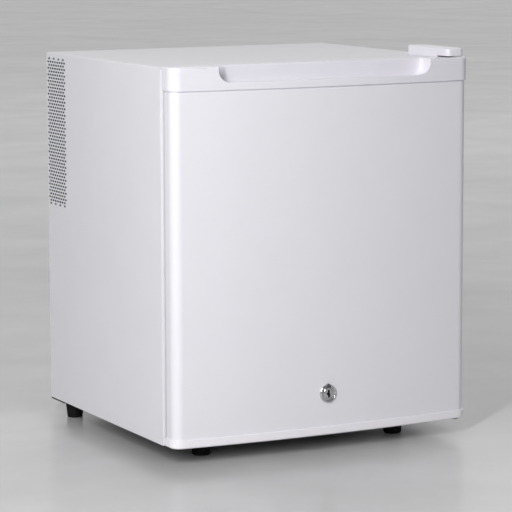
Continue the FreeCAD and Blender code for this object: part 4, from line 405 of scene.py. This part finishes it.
def core(x, z, face, end):
    """The turning core, with its keyway as a real recess, lined with a dark sheet as painted shade inside
    the keyway.
    """
    build = bmesh.new()

    def circle(radius, y):
        return ring(build, [(x + radius * MM * math.cos(a), y, z + radius * MM * math.sin(a))
                            for a in turns(TURN_STEPS)])

    def keyway(share, y):
        return ring(build, [(x + u * share * MM, y, z + v * share * MM) for u, v in KEYWAY])

    rim = circle(CORE_RADIUS - CORE_RIM, face)
    side = circle(CORE_RADIUS, face + CORE_RIM * MM)
    back = circle(CORE_RADIUS, end)
    wall(build, rim, side)
    wall(build, side, back)
    build.faces.new(back)
    mouth = keyway(1, face)
    bottom = keyway(1, face + KEYWAY_DEEP * MM)
    wall(build, mouth, bottom)
    build.faces.new(bottom)
    edges = [build.edges.get((loop[n], loop[(n + 1) % len(loop)])) for loop in (rim, mouth)
             for n in range(len(loop))]
    bmesh.ops.triangle_fill(build, edges=edges, use_beauty=True)
    shank = SHANK_HALF * MM
    corners = ((-shank, -shank), (shank, -shank), (shank, shank), (-shank, shank))
    prism(build, [(x + u, z + v) for u, v in corners], end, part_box("lock_plug")[1].y)
    plug = piece("lock_core_turned", mesh_of("lock_core_turned", build, True), "lock_core", "lock_chrome")
    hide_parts("lock_plug")
    build = bmesh.new()
    near = keyway(LINING_SHARE, face + LINING_NEAR_GAP * MM)
    far = keyway(LINING_SHARE, face + (KEYWAY_DEEP - LINING_FAR_GAP) * MM)
    wall(build, near, far)
    build.faces.new(far)
    piece("keyway_shade_lining", mesh_of("keyway_shade_lining", build), "lock_core", "fan_black")


lock()


# Vents: a thin slotted sheet in the window of each side panel, with a dark sheet of threads behind it as
# painted shade inside the vents

VENT_PITCH, VENT_ROW_PITCH = 7.25, 4.08
VENT_SLOT, VENT_SLOT_HIGH, VENT_SHEET = 6.3, 2.5, 0.5
VENT_ROWS, VENT_COLUMNS = 46, 8
VENT_REAR, VENT_TOP = 6.0, 7.5
# Points on each round end of a slot
SLOT_END_POINTS = 6
SCREEN_GAP, SCREEN_THREAD, SCREEN_PITCH, SCREEN_EDGE = 0.15, 0.35, 0.9, 0.4
# The thickness of the screen's threads and of its backing, and how far the level threads stand out
SCREEN_THICK, SCREEN_BACKING, SCREEN_STEP = 0.3, 0.1, 0.05


def slot_outline(y, z):
    """One slot with round ends, as points of (y, z)."""
    end = VENT_SLOT_HIGH / 2
    reach = VENT_SLOT / 2 - end
    points = []
    for start, way in ((-90, 1), (90, -1)):
        for step in range(SLOT_END_POINTS):
            angle = math.radians(start + 180 / (SLOT_END_POINTS - 1) * step)
            points.append((y + (way * reach + end * math.cos(angle)) * MM, z + end * math.sin(angle) * MM))
    return points


def vent(node, side):
    """A slotted sheet: every other row lies half a pitch along, and the first and last rows are sparse."""
    low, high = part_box(node)
    outlines = [[(low.y, low.z), (high.y, low.z), (high.y, high.z), (low.y, high.z)]]
    last_y, first_z = CASE_REAR - VENT_REAR * MM, CASE_TOP - VENT_TOP * MM
    for row in range(VENT_ROWS):
        sparse = row in (0, VENT_ROWS - 1)
        shifted = sparse or row % 2 == 0
        for column in range(VENT_COLUMNS - 1 if shifted else VENT_COLUMNS):
            if not sparse or column % 2 == 0:
                outlines.append(slot_outline(last_y - (column + (0.5 if shifted else 0)) * VENT_PITCH * MM,
                                             first_z - row * VENT_ROW_PITCH * MM))
    curve = bpy.data.curves.new(node, "CURVE")
    curve.dimensions = "2D"
    curve.fill_mode = "BOTH"
    curve.extrude = VENT_SHEET * MM / 2
    for outline in outlines:
        spline = curve.splines.new("POLY")
        spline.points.add(len(outline) - 1)
        for point, (y, z) in zip(spline.points, outline):
            point.co = (y, z, 0, 1)
        spline.use_cyclic_u = True
    flat = bpy.data.objects.new(node + "_flat", curve)
    mesh = bpy.data.meshes.new_from_object(flat)
    bpy.data.objects.remove(flat)
    mesh.validate()
    face = low.x if side < 0 else high.x
    middle = face - side * VENT_SHEET * MM / 2
    mesh.transform(Matrix(((0, 0, 1, middle), (1, 0, 0, 0), (0, 1, 0, 0), (0, 0, 0, 1))))
    sheet = piece(node + "_sheet", mesh, "cabinet", "case_white")
    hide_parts(node)
    screen(node, side, low, high, face - side * (VENT_SHEET + SCREEN_GAP) * MM)


def screen(node, side, low, high, face):
    """A dark sheet behind the slots, as painted shade inside the vents: two layers of flat threads on a
    thin backing.
    """
    build = bmesh.new()

    def bar(y0, z0, y1, z1, near, far):
        corners = ((y0, z0), (y1, z0), (y1, z1), (y0, z1))
        solid(build, [ring(build, [(x, *corner) for corner in corners]) for x in (near, far)])

    edge, thread, pitch = SCREEN_EDGE * MM, SCREEN_THREAD * MM, SCREEN_PITCH * MM
    y0, y1, z0, z1 = low.y + edge, high.y - edge, low.z + edge, high.z - edge
    back = face - side * SCREEN_THICK * MM
    bar(y0, z0, y1, z1, back, back - side * SCREEN_BACKING * MM)
    for n in range(int((y1 - y0 - thread) / pitch) + 1):
        bar(y0 + n * pitch, z0, y0 + n * pitch + thread, z1, face, back)
    for n in range(int((z1 - z0 - thread) / pitch) + 1):
        bar(y0, z0 + n * pitch, y1, z0 + n * pitch + thread, face + side * SCREEN_STEP * MM, back)
    piece(node + "_screen", mesh_of(node + "_screen", build), "cabinet", "cover_black")


vent("left_vent_grille", -1)
vent("right_vent_grille", 1)


# Screws: a dark cross on the head of each screw that shows, as painted shade of its cross recess

# Shares of the head's radius
CROSS_REACH_SHARE, CROSS_HALF_SHARE = 0.62, 0.14
# How far the cross stands out and goes in, in mm
CROSS_PROUD, CROSS_DEEP = 0.02, 0.2
# Vertices of a CAD mesh closer than this are one, in metres
SAME_PLACE = 1e-6


def islands(obj):
    """The lowest and highest corner of each loose solid in a CAD node, in the order of its vertices."""
    build = bmesh.new()
    build.from_mesh(obj.data)
    bmesh.ops.remove_doubles(build, verts=build.verts, dist=SAME_PLACE)
    left = set(build.verts)
    boxes = []
    for first in build.verts:
        if first not in left:
            continue
        left.remove(first)
        stack = [first]
        spots = []
        while stack:
            vert = stack.pop()
            spots.append(vert.co.copy())
            for edge in vert.link_edges:
                other = edge.other_vert(vert)
                if other in left:
                    left.remove(other)
                    stack.append(other)
        boxes.append((Vector([min(s[n] for s in spots) for n in range(3)]),
                      Vector([max(s[n] for s in spots) for n in range(3)])))
    build.free()
    return boxes


def crosses(node, axis, way, body):
    """A dark cross on each of a node's screw heads, which face along an axis, as painted shade of its cross
    recess.
    """
    build = bmesh.new()
    for low, high in islands(frame["nodes"][node]):
        centre = (low + high) / 2
        across = [n for n in range(3) if n != axis]
        radius = min(high[n] - low[n] for n in across) / 2
        face = (high if way > 0 else low)[axis]
        arm, half = radius * CROSS_REACH_SHARE, radius * CROSS_HALF_SHARE
        outline = [(-half, -arm), (half, -arm), (half, -half), (arm, -half), (arm, half), (half, half),
                   (half, arm), (-half, arm), (-half, half), (-arm, half), (-arm, -half), (-half, -half)]
        rings = []
        for depth in (face + way * CROSS_PROUD * MM, face - way * CROSS_DEEP * MM):
            spots = []
            for u, v in outline:
                spot = [0, 0, 0]
                spot[axis] = depth
                spot[across[0]], spot[across[1]] = centre[across[0]] + u, centre[across[1]] + v
                spots.append(spot)
            rings.append(ring(build, spots))
        solid(build, rings)
    piece(node + "_crosses", mesh_of(node, build), body, "fan_black")


crosses("rear_cover_screws", 1, 1, "cabinet")
crosses("top_hinge_screws", 2, 1, "cabinet")
crosses("cam_screw", 1, 1, "lock_core")
crosses("strike_screws", 2, 1, "cabinet")
crosses("bottom_hinge_screws", 2, -1, "cabinet")


# Small pieces that show: the knob's pointer, the light's ridges and the inlet's contacts

SMALL_EASE = 0.1
POINTER_HALF, POINTER_PROUD, POINTER_SUNK = 0.9, 0.25, 0.2
POINTER_START, POINTER_END_GAP = 2.0, 1.2
RIDGE_PITCH, RIDGE_HIGH, RIDGE_PROUD, RIDGE_SUNK = 3.0, 1.4, 0.2, 0.3
RIDGE_END_GAP, RIDGE_SIDE_GAP = 2.0, 1.5
# The inlet's plated contacts: their places across and up from its middle, and the size of one sleeve
CONTACT_PLACES = [(-7.0, -2.0), (7.0, -2.0), (0.0, 2.0)]
CONTACT_HALF_WIDE, CONTACT_HALF_HIGH, CONTACT_START, CONTACT_END = 1.1, 2.1, 4.0, 14.1


def knob_pointer():
    low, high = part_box("temperature_knob")
    middle_y, middle_z = (low.y + high.y) / 2, (low.z + high.z) / 2
    build = bmesh.new()
    block(build, (low.x - POINTER_PROUD * MM, middle_y - POINTER_HALF * MM, middle_z + POINTER_START * MM),
          (low.x + POINTER_SUNK * MM, middle_y + POINTER_HALF * MM, high.z - POINTER_END_GAP * MM),
          SMALL_EASE * MM)
    piece("knob_pointer", mesh_of("knob_pointer", build), "knob", "fan_black")


def lens_ridges():
    low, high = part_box("light_lens")
    build = bmesh.new()
    for n in range(int((high.z - low.z - 2 * RIDGE_END_GAP * MM) / (RIDGE_PITCH * MM)) + 1):
        z = low.z + (RIDGE_END_GAP + n * RIDGE_PITCH) * MM
        block(build, (low.x - RIDGE_PROUD * MM, low.y + RIDGE_SIDE_GAP * MM, z),
              (low.x + RIDGE_SUNK * MM, high.y - RIDGE_SIDE_GAP * MM, z + RIDGE_HIGH * MM), SMALL_EASE * MM)
    piece("lens_ridges", mesh_of("lens_ridges", build), "cabinet", "lens_frosted")


def inlet_contacts():
    low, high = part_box("power_inlet")
    middle = (low + high) / 2
    build = bmesh.new()
    for x, z in CONTACT_PLACES:
        block(build, (middle.x + (x - CONTACT_HALF_WIDE) * MM, low.y + CONTACT_START * MM,
                      middle.z + (z - CONTACT_HALF_HIGH) * MM),
              (middle.x + (x + CONTACT_HALF_WIDE) * MM, low.y + CONTACT_END * MM,
               middle.z + (z + CONTACT_HALF_HIGH) * MM), SMALL_EASE * MM)
    piece("inlet_contacts", mesh_of("inlet_contacts", build), "cabinet", "zinc_steel")


knob_pointer()
lens_ridges()
inlet_contacts()


# Temperature dial: plain numbers round the knob

DIAL_NUMBERS, DIAL_GAP, DIAL_HIGH, DIAL_RAISED = 6, 4, 5, 0.1
DIAL_START, DIAL_SWEEP = -135, 270


def dial():
    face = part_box("thermostat_housing")[0].x
    low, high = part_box("temperature_knob")
    centre_y, centre_z = (low.y + high.y) / 2, (low.z + high.z) / 2
    radius = (high.y - low.y) / 2 + DIAL_GAP * MM
    for number in range(DIAL_NUMBERS):
        angle = math.radians(DIAL_START + DIAL_SWEEP * number / (DIAL_NUMBERS - 1))
        text = bpy.data.curves.new(f"dial_{number}", "FONT")
        text.body = str(number)
        text.size = DIAL_HIGH * MM
        text.extrude = DIAL_RAISED * MM
        text.align_x = text.align_y = "CENTER"
        obj = bpy.data.objects.new(f"dial_{number}", text)
        bpy.context.scene.collection.objects.link(obj)
        obj.matrix_world = Matrix(((0, 0, -1, face), (-1, 0, 0, centre_y - radius * math.sin(angle)),
                                   (0, 1, 0, centre_z + radius * math.cos(angle)), (0, 0, 0, 1)))
        dress(obj, DARK_INK)
        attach(obj, "cabinet")


dial()


# Stage

FLOOR_RADIUS, FLOOR_SIDES = 24.0, 64
FLOOR_COLOUR = (0.572, 0.572, 0.572)
FLOOR_ROUGHNESS = 0.24
# Two layers of clouding: clouds to the metre, how much they change the tone, and the noise's other settings
FLOOR_CLOUDS = [
    (1.6, 0.30, {"Detail": 5.0, "Roughness": 0.55, "Distortion": 0.6}),
    (6.0, 0.14, {"Detail": 3.0, "Roughness": 0.5}),
]


def floor_material():
    """Pale concrete: two sizes of very faint clouding, and an even satin gloss."""
    material, tree, surface = new_material("pale_floor")
    place = add(tree, "ShaderNodeTexCoord").outputs["Object"]
    colour = None
    for scale, depth, settings in FLOOR_CLOUDS:
        pattern = add(tree, "ShaderNodeTexNoise", Scale=scale, **settings)
        tree.links.new(place, pattern.inputs["Vector"])
        tone = set_range(add(tree, "ShaderNodeMapRange"), 0, 1, 1 - depth, 1 + depth)
        tree.links.new(pattern.outputs["Fac"], tone.inputs["Value"])
        mix = add(tree, "ShaderNodeVectorMath", operation="SCALE")
        if colour is None:
            mix.inputs[0].default_value = FLOOR_COLOUR
        else:
            tree.links.new(colour, mix.inputs[0])
        tree.links.new(tone.outputs["Result"], mix.inputs["Scale"])
        colour = mix.outputs["Vector"]
    tree.links.new(colour, surface.inputs["Base Color"])
    surface.inputs["Roughness"].default_value = FLOOR_ROUGHNESS
    return material


def floor():
    """A wide pale floor, a little glossy, that fills the picture."""
    build = bmesh.new()
    bmesh.ops.create_circle(build, cap_ends=True, radius=FLOOR_RADIUS, segments=FLOOR_SIDES)
    mesh = bpy.data.meshes.new("studio_floor")
    build.to_mesh(mesh)
    build.free()
    obj = bpy.data.objects.new("studio_floor", mesh)
    bpy.context.scene.collection.objects.link(obj)
    dress(obj, floor_material())


floor()


# Light

# Each softbox: its place, what it points at, its width and height, and its power in watts
LIGHTS = {
    "key": ((-1.2, -1.3, 0.95), (0, -0.15, 0.25), (0.14, 1.2), 26.0),
    "side": ((-2.3, -0.6, 0.9), (0, 0, 0.25), (1.4, 1.4), 5.0),
    "overhead": ((0.1, 0.2, 2.4), (0, 0, 0.3), (2.0, 2.0), 3.5),
    "backdrop": ((1.5, 3.0, 3.2), (2.0, 4.5, 0.0), (3.0, 3.0), 32.5),
}
WORLD_LEVEL, LOBE_LEVEL = 0.14, 0.641
# The middle of the world's brighter side, and the cosine from it at which that side starts
LOBE_WAY = (1.0, 0.9, 0.15)
LOBE_EDGE = -0.2


def world():
    """Even ambient light, with a soft brighter side behind the fridge's right."""
    scene_world = bpy.data.worlds.new("studio")
    scene_world.use_nodes = True
    tree = scene_world.node_tree
    facing = add(tree, "ShaderNodeVectorMath", operation="DOT_PRODUCT")
    facing.inputs[1].default_value = Vector(LOBE_WAY).normalized()
    tree.links.new(add(tree, "ShaderNodeTexCoord").outputs["Generated"], facing.inputs[0])
    lobe = add(tree, "ShaderNodeMapRange", interpolation_type="SMOOTHSTEP")
    set_range(lobe, LOBE_EDGE, 1, 0, LOBE_LEVEL)
    tree.links.new(facing.outputs["Value"], lobe.inputs["Value"])
    both = add(tree, "ShaderNodeMath", operation="ADD")
    tree.links.new(lobe.outputs["Result"], both.inputs[0])
    both.inputs[1].default_value = WORLD_LEVEL
    background = tree.nodes["Background"]
    tree.links.new(both.outputs["Value"], background.inputs["Strength"])
    background.inputs["Color"].default_value = (1, 1, 1, 1)
    bpy.context.scene.world = scene_world


def area_light(name, place, target, size, power):
    """A softbox that no camera sees."""
    lamp = bpy.data.lights.new(name, "AREA")
    lamp.shape = "RECTANGLE"
    lamp.size, lamp.size_y = size
    lamp.energy = power
    obj = bpy.data.objects.new(name, lamp)
    bpy.context.scene.collection.objects.link(obj)
    obj.location = place
    obj.rotation_euler = (Vector(target) - Vector(place)).to_track_quat("-Z", "Y").to_euler()
    obj.visible_camera = False


world()
for light_name, setting in LIGHTS.items():
    area_light(light_name, *setting)
bpy.context.scene.view_settings.view_transform = "Standard"


# Camera: its fit to the case's edges in the photograph, with no shift

SENSOR_WIDTH = 36
PHOTO_PIXELS = 512
FOCAL_PIXELS = 2514.4
CAMERA_YAW = math.radians(27.472)
CAMERA_PITCH = math.radians(8.101)
CAMERA_ROLL = -0.00287
CAMERA_PLACE = (-1.4335, -2.7589, 0.6557)
CAMERA_REACH = 50


def camera():
    """The photograph's viewing angle."""
    lens = bpy.data.cameras.new("photo_camera")
    lens.sensor_width = SENSOR_WIDTH
    lens.lens = SENSOR_WIDTH * FOCAL_PIXELS / PHOTO_PIXELS
    lens.clip_end = CAMERA_REACH
    obj = bpy.data.objects.new("photo_camera", lens)
    bpy.context.scene.collection.objects.link(obj)
    turn = (Matrix.Rotation(-CAMERA_YAW, 4, "Z") @ Matrix.Rotation(math.pi / 2 - CAMERA_PITCH, 4, "X")
            @ Matrix.Rotation(CAMERA_ROLL, 4, "Z"))
    obj.matrix_world = Matrix.Translation(CAMERA_PLACE) @ turn
    bpy.context.scene.camera = obj


camera()
